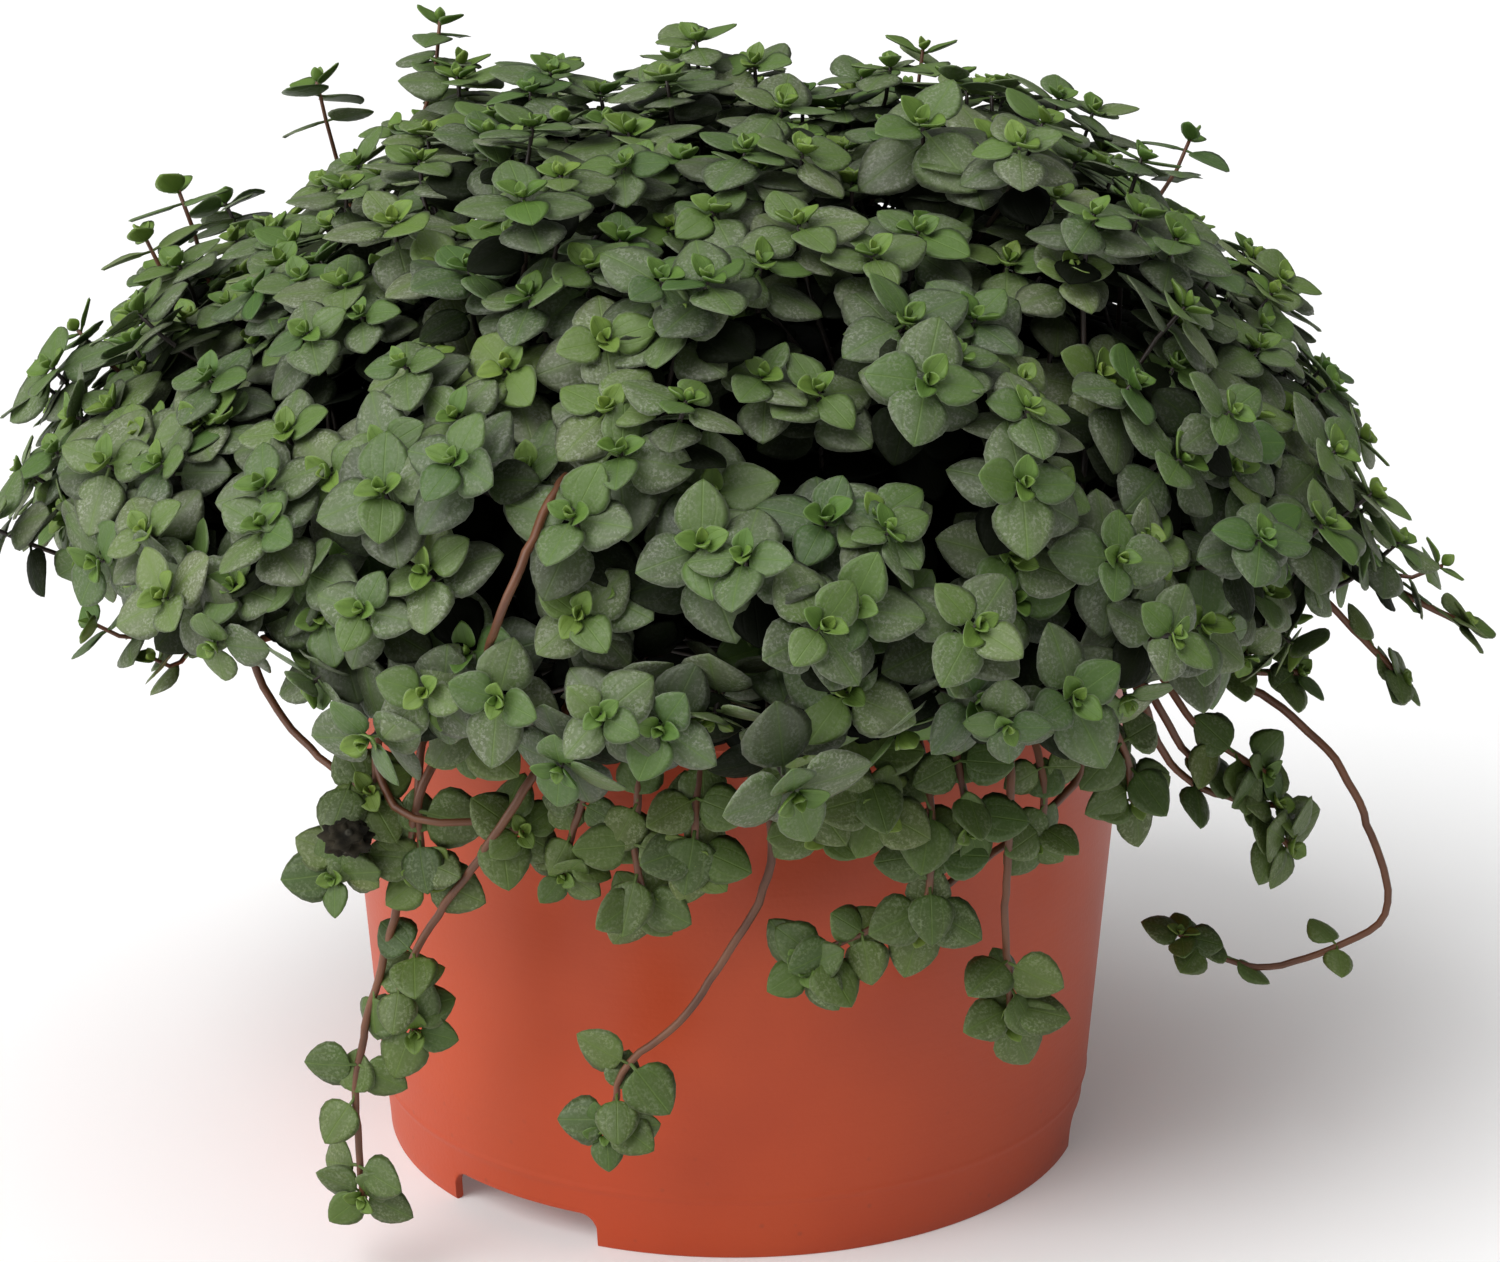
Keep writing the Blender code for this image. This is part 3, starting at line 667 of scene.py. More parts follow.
def stations_back(paths, distances):
    """Points at distances back from the ends of paths, by length along each path."""
    flipped = paths[:, ::-1]
    steps = np.linalg.norm(np.diff(flipped, axis=1), axis=-1)
    run = np.concatenate((np.zeros((len(paths), 1)), np.cumsum(steps, axis=1)), axis=1)
    found = np.empty((*distances.shape, 3))
    for index, (along, points) in enumerate(zip(run, flipped)):
        for axis in range(3):
            found[index, :, axis] = np.interp(distances[index], along, points[:, axis])
    return found


def attribute(nodes, key):
    """What a mesh's named attribute says at each point."""
    reader = nodes.new("ShaderNodeAttribute")
    reader.attribute_name = key
    return reader.outputs["Fac"]


def leaf_colour_group():
    """A pilea leaf's colours over its blade, from its coordinates, rim, age and tone.

    Young leaves are yellow-green and grown ones grey-green with silvery flecks. Past age 1 the
    colour is blended into painted shade, near-black by 1.9, for leaves deep in the crown. Green
    gathers along the midrib and at the base, the rim is a thin pale line, and three faint veins
    run forward.
    """
    group = bpy.data.node_groups.new("pilea_leaf", "ShaderNodeTree")
    for key in ("Young", "Middle", "Old", "Shaded", "Fleck"):
        group.interface.new_socket(key, in_out="INPUT", socket_type="NodeSocketColor")
    for key, kind in (("Colour", "NodeSocketColor"), ("Height", "NodeSocketFloat"),
                      ("Gloss", "NodeSocketFloat")):
        group.interface.new_socket(key, in_out="OUTPUT", socket_type=kind)
    nodes, links = group.nodes, group.links
    given = nodes.new("NodeGroupInput").outputs
    out = nodes.new("NodeGroupOutput").inputs
    blade = nodes.new("ShaderNodeUVMap")
    blade.uv_map = "blade"
    axes = nodes.new("ShaderNodeSeparateXYZ")
    links.new(blade.outputs["UV"], axes.inputs["Vector"])
    ahead, across = axes.outputs["X"], axes.outputs["Y"]
    rim, age_and_painted_shade, tone = (attribute(nodes, key) for key in ("rim", "age_and_painted_shade", "tone"))

    def calc(operation, *values):
        return maths(nodes, links, operation, *values)

    def ranged(value, *limits):
        return spread(nodes, links, value, *limits)

    def mixed(factor, first, second):
        return colour_mix(nodes, links, factor, first, second)

    def noise(scale, rough=0.5):
        return texture(nodes, links, "ShaderNodeTexNoise", scale, Detail=2.0, Roughness=rough)

    old = ranged(age_and_painted_shade, 0.45, 1.0)
    colour = mixed(ranged(age_and_painted_shade, 0.0, 0.5), given["Young"], given["Middle"])
    colour = mixed(old, colour, given["Old"])
    apart = calc("ABSOLUTE", calc("SUBTRACT", across, 0.5))
    near_base = ranged(ahead, 0.0, 0.55, 0.75, 0.0)
    near_rib = ranged(apart, 0.0, 0.16, 0.55, 0.0)
    patch = ranged(noise(260.0), 0.3, 0.7, 0.5, 1.0)
    flush = calc("MULTIPLY", calc("MAXIMUM", near_base, near_rib), patch)
    colour = mixed(flush, colour, given["Middle"])
    fine = ranged(noise(2600.0, 0.6), 0.48, 0.60)
    broad = ranged(noise(420.0), 0.35, 0.65, 0.25, 0.9)
    away = ranged(near_rib, 0.0, 0.5, 1.0, 0.25)
    fleck = calc("MULTIPLY", calc("MULTIPLY", fine, broad), calc("MULTIPLY", old, away))
    colour = mixed(calc("MULTIPLY", fleck, 0.75), colour, given["Fleck"])
    dim = nodes.new("ShaderNodeHueSaturation")
    links.new(ranged(tone, 0.0, 1.0, 0.72, 1.24), dim.inputs["Value"])
    links.new(ranged(tone, 0.0, 1.0, 0.525, 0.488), dim.inputs["Hue"])
    links.new(colour, dim.inputs["Color"])
    colour = mixed(ranged(rim, 0.90, 1.0, 0.0, 0.40), dim.outputs["Color"], given["Fleck"])
    arch = calc("POWER", calc("MULTIPLY", ahead, calc("SUBTRACT", 1.0, ahead)), 0.5)
    off_nerve = calc("ABSOLUTE", calc("SUBTRACT", calc("MULTIPLY", apart, 2.0), arch))
    side_nerve = ranged(off_nerve, 0.0, 0.06, 0.5, 0.0)
    midrib = ranged(apart, 0.0, 0.022, 1.0, 0.0)
    veins = calc("MAXIMUM", side_nerve, midrib)
    colour = mixed(calc("MULTIPLY", veins, 0.22), colour, given["Young"])
    # Painted shade: past age 1 the colour is blended into the near-black shade colour.
    colour = mixed(ranged(age_and_painted_shade, 1.0, 1.9), colour, given["Shaded"])
    grain = noise(1500.0)
    between_veins = calc("MULTIPLY", calc("SUBTRACT", 1.0, veins), 0.5)
    height = calc("ADD", between_veins, calc("MULTIPLY", grain, 0.7))
    links.new(colour, out["Colour"])
    links.new(height, out["Height"])
    links.new(ranged(grain, 0.3, 0.7, 0.46, 0.62), out["Gloss"])
    return group


def leaf_material(name, group, specular, **colours):
    """Soft, slightly waxy leaf; the group gives its colours, its relief and its gloss."""
    made, nodes, links, shader = new_material(name)
    leaf = nodes.new("ShaderNodeGroup")
    leaf.node_tree = group
    for key, colour in colours.items():
        feed(links, leaf.inputs[key.capitalize()], colour)
    links.new(leaf.outputs["Colour"], shader.inputs["Base Color"])
    links.new(leaf.outputs["Gloss"], shader.inputs["Roughness"])
    relief(nodes, links, shader, leaf.outputs["Height"], 0.35, 0.00025)
    shader.inputs["Specular IOR Level"].default_value = specular
    return made


def stem_material():
    """Thin fleshy stems, reddish brown, with painted shade: near-black brown deep in the crown."""
    made, nodes, links, shader = new_material("pilea_stem")
    patch = texture(nodes, links, "ShaderNodeTexNoise", 150.0, Detail=4.0)
    colour = colour_mix(nodes, links, spread(nodes, links, patch, 0.3, 0.7),
                        (0.080, 0.026, 0.010), (0.160, 0.060, 0.024))
    colour = colour_mix(nodes, links, attribute(nodes, "clear_of_painted_shade"), (0.020, 0.012, 0.007), colour)
    links.new(colour, shader.inputs["Base Color"])
    shader.inputs["Roughness"].default_value = 0.5
    relief(nodes, links, shader, patch, 0.3, 0.0002)
    return made


LEAF_GROUP = leaf_colour_group()
# Each leaf material's darkest colour is painted shade, blended in past age 1.
CROWN_LEAF = leaf_material("crown_leaf", LEAF_GROUP, specular=0.35,
                           young=(0.145, 0.225, 0.034), middle=(0.083, 0.147, 0.024),
                           old=(0.098, 0.120, 0.060), shaded=(0.0045, 0.0055, 0.0035),
                           fleck=(0.270, 0.290, 0.225))
# A copy of the leaf material for painted shade: near-black colours and almost no specular, for
# leaves past the shade age.
PAINTED_SHADE_LEAF = leaf_material("shaded_leaf", LEAF_GROUP, specular=0.03,
                            young=(0.190, 0.285, 0.036), middle=(0.082, 0.148, 0.024),
                            old=(0.097, 0.120, 0.060), shaded=(0.0035, 0.0045, 0.0025),
                            fleck=(0.270, 0.295, 0.225))
STEM = stem_material()

# The shoots are spread over the soil and the crown by the golden angle. Each has a trunk that
# climbs, then leans out to a fork under the crown's surface.
plan = np.random.default_rng(20)
ROOT_DEPTH = 0.005
ROOT_INSET = 0.014
FORK_DEPTH = 0.022
shoot_share = (np.arange(CROWN_SHOOTS) + 0.5) / CROWN_SHOOTS
shoot_azimuth = np.arange(CROWN_SHOOTS) * GOLDEN_ANGLE
shoot_head, shoot_normal = dome(shoot_share * 0.86, shoot_azimuth)
shoot_axis = unit(shoot_normal + 0.6 * UP)
soil_inner = float(side_radius(SOIL_EDGE_LEVEL)) - ROOT_INSET
shoot_root = around(shoot_azimuth, soil_inner * np.sqrt(shoot_share),
                    np.full(CROWN_SHOOTS, SOIL_EDGE_LEVEL - ROOT_DEPTH))
shoot_fork = shoot_head - shoot_axis * FORK_DEPTH
climb = (0.016 + POT_HEIGHT - SOIL_EDGE_LEVEL) * (0.4 + 0.6 * shoot_share)
trunks = bezier(shoot_root, shoot_root + UP * climb[:, None], shoot_fork - shoot_axis * 0.012,
                shoot_fork, 14)

# The outer rosettes, some a little deeper than others. They face out, up and to the front light.
UPWARD_SHARE, FRONT_SHARE = 0.48, 0.25
rosette_share = (np.arange(ROSETTE_COUNT) + 0.5) / ROSETTE_COUNT
rosette_azimuth = np.arange(ROSETTE_COUNT) * GOLDEN_ANGLE + 0.3
jitter = plan.normal(0.0, 1.0, (ROSETTE_COUNT, 3))
tips, normals = dome(np.clip(rosette_share + jitter[:, 0] * 0.004, 0.0, 1.0), rosette_azimuth)
depth = plan.choice([0.0, -0.0030, -0.007, 0.0042], ROSETTE_COUNT, p=[0.50, 0.27, 0.13, 0.10])
tips = tips + jitter * 0.0022 + normals * (depth + plan.normal(0, 0.0012, ROSETTE_COUNT))[:, None]
axes = unit(normals + UPWARD_SHARE * UP + plan.normal(0, 0.20, (ROSETTE_COUNT, 3))
            + np.clip(normals[:, 2:], 0.0, 1.0) * [[0.0, -FRONT_SHARE, 0.0]])
# The mound sags a little at its left shoulder and its right and bulges between: where, how far
# and how widely.
for middle, sag, width in ((-0.066, 0.0085, 0.019), (0.043, -0.0030, 0.014),
                           (0.080, 0.0065, 0.016)):
    over_waist = np.clip((tips[:, 2] - CROWN_WAIST) / 0.03, 0.0, 1.0)
    tips[:, 2] -= sag * over_waist * np.exp(-((tips[:, 0] - middle) / width) ** 2)
# It is open in places, where the dark inside shows: middles and radii, in millimetres.
OPEN_PLACES = np.array([
    (3.0, -88.0, 116.0, 6.5), (15.0, -73.0, 134.0, 7.5), (16.0, -45.0, 150.0, 8.5),
    (-11.0, -93.0, 104.0, 7.5), (48.0, -72.0, 120.0, 7.5),
    (-62.0, -70.0, 108.0, 6.0), (-12.0, -80.0, 131.0, 5.5), (38.0, -60.0, 136.0, 6.0),
    (-31.0, -85.0, 115.0, 6.5), (-27.0, -90.0, 107.0, 5.0), (30.0, -84.0, 112.0, 6.0),
    (-26.0, -50.0, 146.0, 4.5),
    (58.0, -66.0, 106.0, 6.5), (22.0, -90.0, 103.0, 6.0), (-46.0, -60.0, 134.0, 5.5),
    (60.0, 60.0, 120.0, 7.0), (-20.0, 84.0, 118.0, 7.5), (-70.0, 50.0, 110.0, 7.0),
])
clear = np.all(np.linalg.norm(tips[:, None] - OPEN_PLACES[None, :, :3] * MM, axis=-1)
               > OPEN_PLACES[None, :, 3] * MM, axis=1)
tips, axes = tips[clear], axes[clear]

# Older growth in three layers under the outer leaves, with no young tips of its own. Its leaves
# are painted near-black: painted shade, a dark backing inside the crown.
inner = [dome((np.arange(count) + 0.5) / count, np.arange(count) * GOLDEN_ANGLE + 1.1, inset)
         for count, inset in INNER_LAYERS]
inner_tips, inner_normals = (np.concatenate(part) for part in zip(*inner))
INNER_COUNT = len(inner_tips)
inner_tips = inner_tips + plan.normal(0.0, 0.003, (INNER_COUNT, 3))
# The skirt is shorter on the left.
SKIRT_LIFT = 0.013
for places in (tips, inner_tips):
    low = np.clip((CROWN_WAIST + 0.014 - places[:, 2]) / 0.022, 0.0, 1.0)
    places[:, 2] += SKIRT_LIFT * low * np.clip((-places[:, 0] - 0.044) / 0.018, 0.0, 1.0)
inner_axes = unit(inner_normals + 0.5 * UP + plan.normal(0, 0.25, (INNER_COUNT, 3)))

# Shoots that stand clear of the mound, by their tips in millimetres and how far they lean out.
STRAYS = np.array([
    (-61.0, 20.0, 153.0, 0.2), (-43.5, 28.0, 161.0, 0.0), (-40.0, 24.0, 155.0, 0.0),
    (-80.0, 8.0, 139.0, 0.4), (-84.0, 2.0, 133.0, 0.5),
    (-94.0, 0.0, 120.0, 0.7), (-101.0, -4.0, 99.0, 1.2), (-90.0, -20.0, 82.0, 1.2),
    (-81.0, -24.0, 78.0, 1.0), (67.0, 18.0, 145.0, 0.3), (28.0, 26.0, 157.0, 0.0),
    (102.0, -8.0, 87.0, 1.2), (30.0, 86.0, 132.0, 0.5), (-52.0, 72.0, 136.0, 0.5),
    (74.0, 58.0, 126.0, 0.6), (-8.0, 98.0, 92.0, 1.2), (60.0, 78.0, 84.0, 1.0),
])
stray_tips = STRAYS[:, :3] * MM
stray_axes = unit(UP + STRAYS[:, 3:] * unit(stray_tips * np.array([1.0, 1.0, 0.0])))

# A short branch joins each rosette to the nearest shoot's trunk.
OUTER, INNER, STRAY = 0, 1, 2
tips = np.concatenate((tips, inner_tips, stray_tips))
axes = np.concatenate((axes, inner_axes, stray_axes))
kind = np.repeat([OUTER, INNER, STRAY], [np.sum(clear), INNER_COUNT, len(STRAYS)])
owner = np.argmin(np.linalg.norm(tips[:, None] - shoot_head[None], axis=-1), axis=1)
start_station = plan.integers(9, 14, len(tips))
branch_start = trunks[owner, start_station]
branch_way = unit(trunks[owner, start_station] - trunks[owner, start_station - 1])
reach = np.linalg.norm(tips - branch_start, axis=-1, keepdims=True)
branches = bezier(branch_start, branch_start + branch_way * reach * 0.35,
                  tips - axes * np.minimum(reach * 0.5, 0.014), tips, 8)
# The pairs of inner and stray shoots, in the same columns as a rosette's. The inner ones are a
# rosette's three oldest, all set to age 2, which paints them near-black with painted shade.
INNER_PAIRS = ROSETTE_PAIRS[3:] * np.array([1, 1.1, 1, 1, 1, 0]) + np.array([0, 0, 0, 0, 0, 2.0])
STRAY_PAIRS = np.array([
    (0.0001, 0.30, 60.0, 0.50, -0.30, 0.00),
    (0.0006, 0.66, 26.0, 0.20, -0.05, 0.35),
    (0.0020, 0.98, 4.0, 0.00, 0.14, 0.70),
    (0.0056, 1.02, -8.0, -0.10, 0.20, 0.85),
])


def joined_leaves(tables):
    """One table of leaves from many."""
    return {key: np.concatenate([table[key] for table in tables]) for key in tables[0]}


tables = []
for which, pairs in ((OUTER, ROSETTE_PAIRS), (INNER, INNER_PAIRS), (STRAY, STRAY_PAIRS)):
    chosen = np.flatnonzero(kind == which)
    table = rosette_leaves(tips[chosen], axes[chosen], branches[chosen],
                           plan.normal(1.0, 0.08, len(chosen)),
                           plan.uniform(0, np.pi, len(chosen)), plan, pairs)
    table["owner"] = chosen[table["owner"]]
    tables.append(table)
crown = joined_leaves(tables)

for number in range(CROWN_SHOOTS):
    mine = np.flatnonzero(owner == number)
    trunk_radii = np.linspace(*TRUNK_RADII, trunks.shape[1])[None]
    branch_radii = np.repeat(np.linspace(*BRANCH_RADII, branches.shape[1])[None], len(mine), axis=0)
    trunk = stem_tubes(trunks[number][None], trunk_radii, 8)
    twigs = stem_tubes(branches[mine], branch_radii, 6)
    stems = joined_stems(f"crown_stems_{number + 1:02d}", [trunk, twigs])
    # Painted shade: the trunk and the branches of outer and inner rosettes get the near-black stem
    # colour; only the stray shoots' branches keep the reddish brown.
    mark(stems.data, "clear_of_painted_shade", np.concatenate(
        (np.zeros(len(trunk[0])), np.repeat(kind[mine] == STRAY, len(twigs[0]) // len(mine)))))
    kept = np.isin(crown["owner"], mine)
    leaves = leaf_piece(f"crown_leaves_{number + 1:02d}",
                        {key: values[kept] for key, values in crown.items()}, CROWN_LEAF)
    for made in (stems, leaves):
        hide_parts(f"shoot_crown_{number + 1:02d}")
        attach(made, "root")


# ---- Trailing shoots ----------------------------------------------------------------------------
# The outermost shoots have grown over the rim. Each is a thin reddish stem from the edge of the
# soil, bare where it is oldest, with crossed pairs of leaves towards its tip and a small rosette
# at the end. The leaves twist on their stalks to face outwards and up.

# Its darkest colour is painted shade as well, blended in past age 1.
TRAIL_LEAF = leaf_material("trailing_leaf", LEAF_GROUP, specular=0.35,
                           young=(0.150, 0.225, 0.032), middle=(0.069, 0.116, 0.015),
                           old=(0.071, 0.094, 0.027), shaded=(0.030, 0.042, 0.018),
                           fleck=(0.210, 0.243, 0.135))
TRAIL_ROOT_RADIUS = float(side_radius(SOIL_EDGE_LEVEL)) - WALL - 0.0045
TRAIL_RADII = (0.00068, 0.00048)
RIM_CLEARANCE = 0.0035


def smooth_way(points, spacing=0.0018):
    """A Catmull-Rom curve through the points, at even steps of about the spacing."""
    points = np.asarray(points, float)
    padded = np.concatenate(([2 * points[0] - points[1]], points, [2 * points[-1] - points[-2]]))
    t = np.linspace(0.0, 1.0, 16, endpoint=False)[:, None, None]
    before, start, end, after = (padded[k:len(padded) - 3 + k][None] for k in range(4))
    curve = 0.5 * (2 * start + (end - before) * t + (2 * before - 5 * start + 4 * end - after)
                   * t ** 2 + (3 * start - before - 3 * end + after) * t ** 3)
    curve = np.concatenate((curve.transpose(1, 0, 2).reshape(-1, 3), points[-1:]))
    run = np.concatenate(([0.0], np.cumsum(np.linalg.norm(np.diff(curve, axis=0), axis=1))))
    even = np.linspace(0.0, run[-1], max(int(run[-1] / spacing), 4) + 1)
    return np.stack([np.interp(even, run, curve[:, axis]) for axis in range(3)], axis=-1)


def lit_side(places):
    """Outwards from the pot's axis, turned towards -Y in the front half."""
    outwards = unit(places * np.array([1.0, 1.0, 0.0]))
    return unit(outwards - np.clip(-places[..., 1:2] / 0.03, 0.0, 1.0) * [[0.0, 0.9, 0.0]])


def facing_pairs(path, back, sizes, lift, draw):
    """Crossed pairs along a hanging stem, at distances back from its tip.

    Every leaf lies square to its facing: outwards from the pot with a share of up, and in the
    front half turned towards the light at the front. One pair points across the stem, and the
    next along it, one leaf each way.
    """
    nodes = stations_back(path[None], np.asarray(back)[None])[0]
    ahead = stations_back(path[None], np.maximum(np.asarray(back)[None] - 0.002, 0.0))[0]
    behind = stations_back(path[None], np.asarray(back)[None] + 0.002)[0]
    stem = unit(ahead - behind)[:, None]
    radial = lit_side(nodes)[:, None]
    facing = unit(radial + lift * UP + draw.normal(0, 0.22, (len(back), 2, 3)))
    across = unit(np.cross(stem, facing))
    crossed = (np.arange(len(back)) % 2)[:, None, None]
    sign = np.array([1.0, -1.0])[None, :, None]
    lean = draw.normal(0.30, 0.18, (len(back), 2, 1))
    way = np.where(crossed == 0, sign * across + lean * stem,
                   sign * (stem + 0.25 * draw.normal(0, 1.0, (len(back), 2, 1)) * across))
    way = unit(way - facing * np.sum(way * facing, axis=-1, keepdims=True))
    length = (LEAF_LENGTH * np.asarray(sizes)[:, None] * draw.normal(1.0, 0.06, (len(back), 2)))
    base = nodes[:, None] + way * (LEAF_STALK * length)[..., None] + facing * 0.0004
    return {
        "base": base.reshape(-1, 3), "outward": way.reshape(-1, 3),
        "upward": facing.reshape(-1, 3), "length": length.ravel(),
        "width": (length * 0.97 * draw.normal(1.0, 0.04, length.shape)).ravel(),
        "cup": draw.normal(-0.10, 0.10, length.size),
        "bend": draw.normal(0.14, 0.06, length.size),
        "age_and_painted_shade": np.clip(draw.normal(0.85, 0.1, length.size), 0, 1),
        "tone": np.clip(draw.normal(0.5, 0.2, length.size), 0, 1),
    }


def over_the_rim(azimuth, first_point):
    """The way of a shoot from its root in the soil, up, and over the rim to its first point."""
    level = SOIL_EDGE_LEVEL
    turn = math.radians(azimuth)
    out = math.atan2(first_point[0], -first_point[1])
    middle = (turn + out) / 2 if abs(turn - out) < math.pi else turn
    return [around(turn, TRAIL_ROOT_RADIUS, level - ROOT_DEPTH),
            around(turn, TRAIL_ROOT_RADIUS, level + 0.003),
            around(middle, RIM_RADIUS, POT_HEIGHT + RIM_CLEARANCE)]


# Each shoot: its root's azimuth in degrees, the points that it passes outside the pot in
# millimetres, where its pairs are, back from its tip in millimetres, their size, and how far
# its leaves face up.
SHOOTS = {
    "trail_front_left_long": [
        (-30, [(-39, -62, 74), (-42, -62, 64), (-44, -61, 55), (-47, -60, 43), (-49, -60, 34),
               (-50, -60, 27), (-50, -60, 19), (-50, -60, 13)], (5.0, 15.0, 20.0, 31.0), 0.98,
         0.35),
    ],
    "trail_front_left_inner": [
        (-20, [(-24, -67, 79), (-30, -69, 70), (-36, -66, 60), (-41, -64, 52), (-44, -62, 44),
               (-42, -62, 38)], (3.0, 7.0, 13.0), 1.0, 0.45),
        (-33, [(-40, -60, 78), (-41, -63, 68), (-40, -64, 60)], (2.8, 5.5, 9.5), 1.05, 0.5),
        (-16, [(-15, -70, 106), (-20, -81, 118), (-24, -90, 113), (-27, -93, 106),
               (-29, -86, 98), (-32, -76, 90), (-34, -68, 80)], (3.0, 7.0), 0.95, 0.5),
    ],
    "trail_left_arch": [
        (-58, [(-62, -50, 89), (-62, -52, 84), (-58, -55, 78), (-51, -59, 73), (-47, -61, 71)],
         (3.0,), 1.0, 0.8),
        (-44, [(-46, -57, 78), (-45, -62, 71), (-39, -66, 69), (-32, -67, 69), (-27, -68, 68)],
         (3.0,), 0.9, 0.6),
        (-50, [(-46, -57, 80), (-47, -60, 71), (-50, -62, 64), (-52, -63, 60)],
         (3.0, 6.5), 0.92, 0.6),
    ],
    "trail_front_centre": [
        (0, [(2, -68, 80), (4, -71, 70), (3, -71, 61), (-1, -70, 53), (-7, -69, 43),
             (-14, -68, 36), (-16, -68, 30), (-17, -68, 26)], (2.5, 6.0, 11.0), 0.95, 0.45),
        (-12, [(-12, -67, 80), (-13, -70, 70), (-12, -70, 62), (-12, -69, 58)],
         (2.5, 5.5, 9.5, 15.0), 0.98, 0.4),
        (-18, [(-17, -66, 80), (-19, -69, 73), (-21, -68, 66), (-22, -68, 62)],
         (2.5, 6.0, 11.0), 0.78, 0.4),
        (6, [(7, -68, 82), (9, -72, 75), (11, -73, 70)], (2.5, 5.0, 8.5), 1.0, 0.5),
        (-3, [(-4, -68, 80), (-5, -72, 71), (-5, -72, 65)], (2.5, 5.0, 9.0, 14.0), 0.95, 0.5),
    ],
    "trail_front_right_slant": [
        (39, [(42, -57, 79), (45, -58, 73), (40, -62, 68), (30, -66, 62), (20, -69, 57),
              (12, -70, 53), (9, -70, 50)], (2.5, 5.5, 9.0), 0.95, 0.45),
        (14, [(15, -67, 81), (17, -72, 76), (18, -73, 72)], (2.5, 5.0, 9.0), 1.05, 0.6),
    ],
    "trail_front_right": [
        (29, [(34, -61, 83), (35, -66, 76), (35, -66, 66), (35, -65, 54), (36, -63, 45),
              (36, -62, 39)], (2.5, 5.5, 10.0), 1.0, 0.45),
        (20, [(23, -65, 81), (25, -70, 72), (25, -70, 62), (24, -69, 56)],
         (2.5, 5.5, 10.0, 16.0), 1.02, 0.45),
        (25, [(27, -64, 81), (29, -68, 74), (30, -68, 68)], (2.5, 5.5, 9.5), 0.9, 0.5),
        (33, [(38, -59, 80), (40, -62, 71), (39, -62, 64)], (2.5, 6.0, 11.0), 0.8, 0.3),
    ],
    "trail_right_low": [
        (50, [(48, -52, 80), (52, -52, 72), (53, -50, 66)], (2.5, 5.5, 9.5), 1.0, 0.5),
        (58, [(54, -40, 78), (57, -38, 70), (62, -36, 64), (69, -35, 61), (75, -35, 60)],
         (2.5, 6.0, 13.0), 0.95, 0.7),
        (56, [(56, -38, 76), (62, -36, 67), (71, -35, 60), (77, -35, 54)], (3.0,), 1.15, 0.2),
    ],
    "trail_right_hook": [
        (66, [(60, -30, 84), (64, -30, 80), (70, -30, 76), (77, -30, 72), (84, -30, 65),
              (89, -30, 56), (92, -30, 46), (91, -30, 40), (85, -30, 37), (77, -30, 34),
              (70, -30, 35), (63, -30, 39)], (3.5, 8.5, 24.0), 0.82, 1.6),
        (66, [(58, -32, 83), (64, -31, 79), (71, -31, 78), (78, -31, 78)],
         (2.5, 5.5, 9.5, 14.0, 19.0), 0.85, 0.9),
        (62, [(57, -35, 80), (63, -36, 72), (70, -36, 67), (73, -36, 65)], (2.5, 5.5, 9.5), 0.9,
         0.4),
    ],
    "trail_right_side": [
        (86, [(72, -10, 88), (80, -10, 86), (87, -9, 80), (94, -9, 73), (97, -9, 70)],
         (2.5, 7.0), 0.85, 1.0),
        (82, [(74, -8, 92), (86, -6, 88), (96, -5, 83), (107, -5, 77)], (2.5, 6.5, 12.0, 18.0),
         0.85, 1.4),
    ],
    "trail_back_right": [
        (130, [(54, 46, 81), (53, 55, 66), (52, 57, 50), (49, 60, 38)],
         (3.0, 7.0, 13.0, 21.0), 1.0, 0.45),
        (112, [(62, 26, 80), (67, 28, 70), (68, 28, 62)], (2.5, 6.0, 11.0), 0.95, 0.45),
        (148, [(36, 60, 80), (39, 63, 70), (40, 63, 63)], (2.5, 6.0, 11.0), 0.9, 0.5),
    ],
    "trail_back_long": [
        (172, [(9, 72, 81), (6, 74, 66), (1, 75, 50), (-5, 75, 33), (-10, 74, 20)],
         (4.0, 10.0, 18.0, 30.0), 1.0, 0.4),
        (186, [(-7, 70, 81), (-9, 74, 73), (-10, 74, 66)], (2.5, 5.5, 10.0), 1.0, 0.5),
        (164, [(18, 68, 80), (20, 71, 70), (20, 71, 60)], (2.5, 6.0, 12.0), 0.9, 0.45),
    ],
    "trail_back_left": [
        (214, [(-40, 60, 81), (-38, 64, 66), (-34, 66, 54)], (3.0, 7.0, 13.0), 1.0, 0.5),
        (232, [(-56, 44, 80), (-57, 46, 68), (-55, 47, 60)], (2.5, 6.0, 11.0), 0.95, 0.5),
        (200, [(-22, 68, 80), (-24, 70, 72)], (2.5, 5.5, 9.5), 0.95, 0.5),
    ],
    "trail_left_side": [
        (262, [(-72, 10, 88), (-79, 11, 87), (-84, 11, 84)], (3.0, 7.0, 12.0), 0.95, 0.6),
        (250, [(-66, 24, 87), (-73, 26, 84), (-77, 26, 80)], (2.5, 6.0, 11.0), 0.9, 0.5),
    ],
}

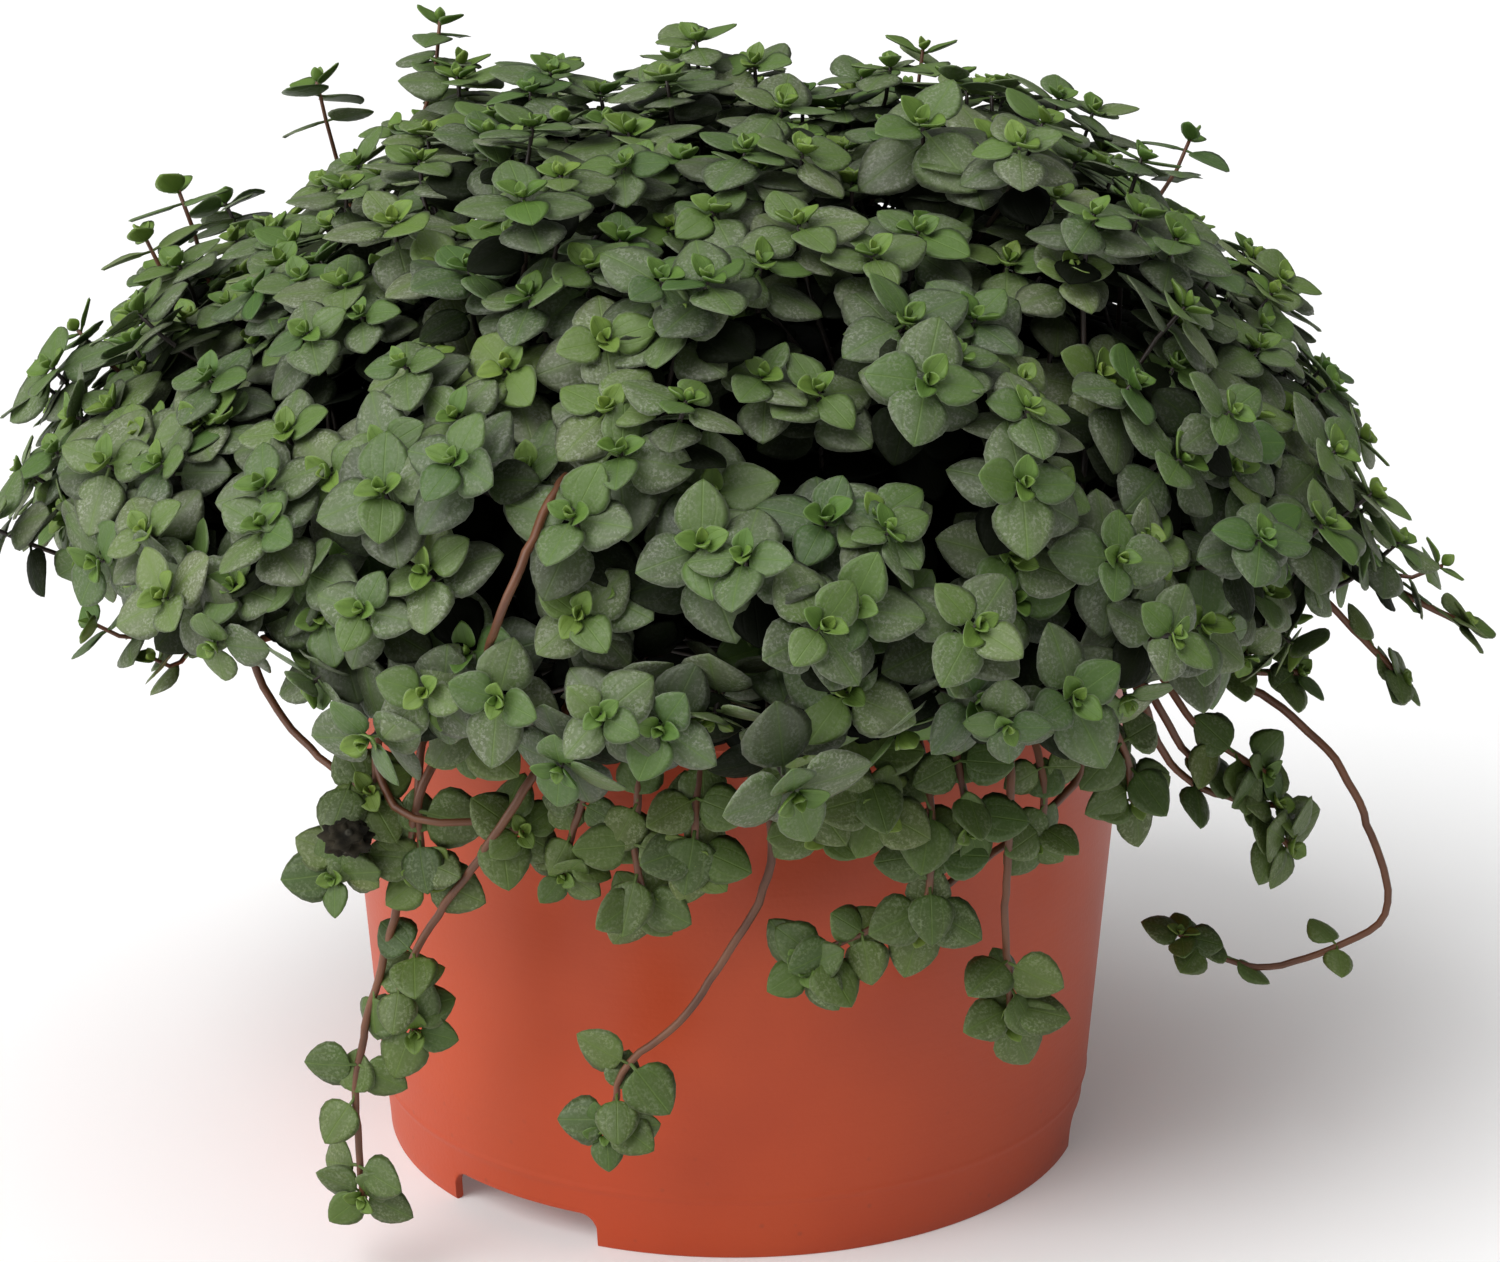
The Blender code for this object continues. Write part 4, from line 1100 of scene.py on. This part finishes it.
hang = np.random.default_rng(31)
for node, routes in SHOOTS.items():
    stems, tables = [], []
    for azimuth, points, pairs, size, lift in routes:
        points = [np.array(point) * MM for point in points]
        way = smooth_way(over_the_rim(azimuth, points[0]) + points)
        wobble = np.cumsum(hang.normal(0, 0.00012, way.shape), axis=0)
        way = way + wobble - np.linspace(0, 1, len(way))[:, None] * wobble[-1]
        stems.append(stem_tubes(way[None], np.linspace(*TRAIL_RADII, len(way))[None], 8))
        back = np.array(pairs) * MM
        tables.append(facing_pairs(way, back, size * hang.normal(1.0, 0.05, len(back)), lift,
                                   hang))
        axis = unit(0.45 * unit(way[-1:] - way[-3:-2]) + 0.85 * lit_side(way[-1:]) + lift * UP)
        tables.append(rosette_leaves(way[-1:], axis, way[None, -6:], np.array([size * 0.92]),
                                     hang.uniform(0, np.pi, 1), hang, ROSETTE_PAIRS[:4]))
    stem_piece = joined_stems(node + "_stems", stems)
    mark(stem_piece.data, "clear_of_painted_shade", np.ones(len(stem_piece.data.vertices)))
    leaf_group = leaf_piece(node + "_leaves", joined_leaves(tables), TRAIL_LEAF)
    for made in (stem_piece, leaf_group):
        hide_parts(node)
        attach(made, "root")


# ---- Soil crumb ---------------------------------------------------------------------------------
# A crumb of peat as big as a leaf, which has dropped onto a hanging rosette and stuck there.

CRUMB_PLACE = np.array([-0.0497, -0.0665, 0.0668])
CRUMB_RADIUS = 0.0026
CRUMB_STRETCH = np.array([1.15, 1.0, 0.85])


def crumb_ball(rings, columns):
    """A ball whose radius swells and shrinks with sines of its latitude and longitude."""
    latitude = np.linspace(0.0, np.pi, rings + 2)[1:-1, None]
    longitude = np.linspace(0.0, 2 * np.pi, columns, endpoint=False)[None]
    lumps = (0.12 * np.sin(3 * longitude + 4 * latitude)
             + 0.14 * np.sin(6 * longitude - 5 * latitude + 1.0)
             + 0.12 * np.sin(9 * latitude + 4 * longitude)
             + 0.10 * np.sin(10 * longitude + 8 * latitude + 2.0))
    radius = CRUMB_RADIUS * (1.0 + lumps * np.sin(latitude))
    ball = np.stack((radius * np.sin(latitude) * np.cos(longitude),
                     radius * np.sin(latitude) * np.sin(longitude),
                     radius * np.cos(latitude)), axis=-1).reshape(-1, 3)
    poles = [CRUMB_RADIUS * UP, -CRUMB_RADIUS * UP]
    points = np.concatenate((ball, poles)) * CRUMB_STRETCH
    return points + CRUMB_PLACE, capped_faces(rings, columns)


crumb = mesh_piece("soil_crumb", *crumb_ball(24, 36))
crumb.data.materials.append(PEAT)
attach(crumb, "root")


# ---- Floor, lights and camera -------------------------------------------------------------------
# A plain near-white floor in a white surround, lit by three wide soft lights: from the upper left
# front, from low at the left, and from overhead.

FLOOR_HALF = 3.0
floor = mesh_piece("floor", FLOOR_HALF * np.array([(-1, -1, 0), (1, -1, 0), (1, 1, 0), (-1, 1, 0)]),
                   (np.array([(0, 1, 2, 3)]),))
floor_paint, _, _, floor_shader = new_material("pale_floor")
for key, value in (("Base Color", (0.86, 0.86, 0.86, 1.0)), ("Roughness", 0.9),
                   ("Emission Color", (1.0, 1.0, 1.0, 1.0)), ("Emission Strength", 0.11)):
    floor_shader.inputs[key].default_value = value
floor.data.materials.append(floor_paint)

world = bpy.data.worlds.new("studio")
world.use_nodes = True
surround = world.node_tree.nodes["Background"]
surround.inputs["Color"].default_value = (1.0, 1.0, 1.0, 1.0)
ray = world.node_tree.nodes.new("ShaderNodeLightPath")
SURROUND_LIGHT = 0.17
glow = spread(world.node_tree.nodes, world.node_tree.links, ray.outputs["Is Camera Ray"],
              0.0, 1.0, SURROUND_LIGHT, 1.0)
world.node_tree.links.new(glow, surround.inputs["Strength"])
bpy.context.scene.world = world


def soft_sun(name, way, width, strength):
    """A soft light, so many degrees wide, that falls along a direction all over the floor."""
    lamp = bpy.data.lights.new(name, "SUN")
    lamp.angle = math.radians(width)
    lamp.energy = strength
    made = bpy.data.objects.new(name, lamp)
    made.rotation_euler = Vector(way).to_track_quat("-Z", "Y").to_euler()
    bpy.context.scene.collection.objects.link(made)


soft_sun("key", (0.56, 0.62, -0.96), 44.0, 2.2)
soft_sun("side", (0.98, 0.30, -0.16), 56.0, 2.05)
soft_sun("overhead", (0.0, 0.15, -1.0), 56.0, 1.1)

CAMERA_DOWN = math.radians(16.24)
CAMERA_TURN = math.radians(-0.289)
camera_lens = bpy.data.cameras.new("camera")
camera_lens.lens = 77.2
camera_lens.sensor_width = 36.0
camera_lens.clip_start = 0.01
camera = bpy.data.objects.new("camera", camera_lens)
camera.location = (0.0, -0.4549, 0.2075)
camera.rotation_euler = Euler((math.pi / 2 - CAMERA_DOWN, 0.0, CAMERA_TURN))
bpy.context.scene.collection.objects.link(camera)
bpy.context.scene.camera = camera
bpy.context.scene.view_settings.view_transform = "Standard"

bpy.context.view_layer.update()
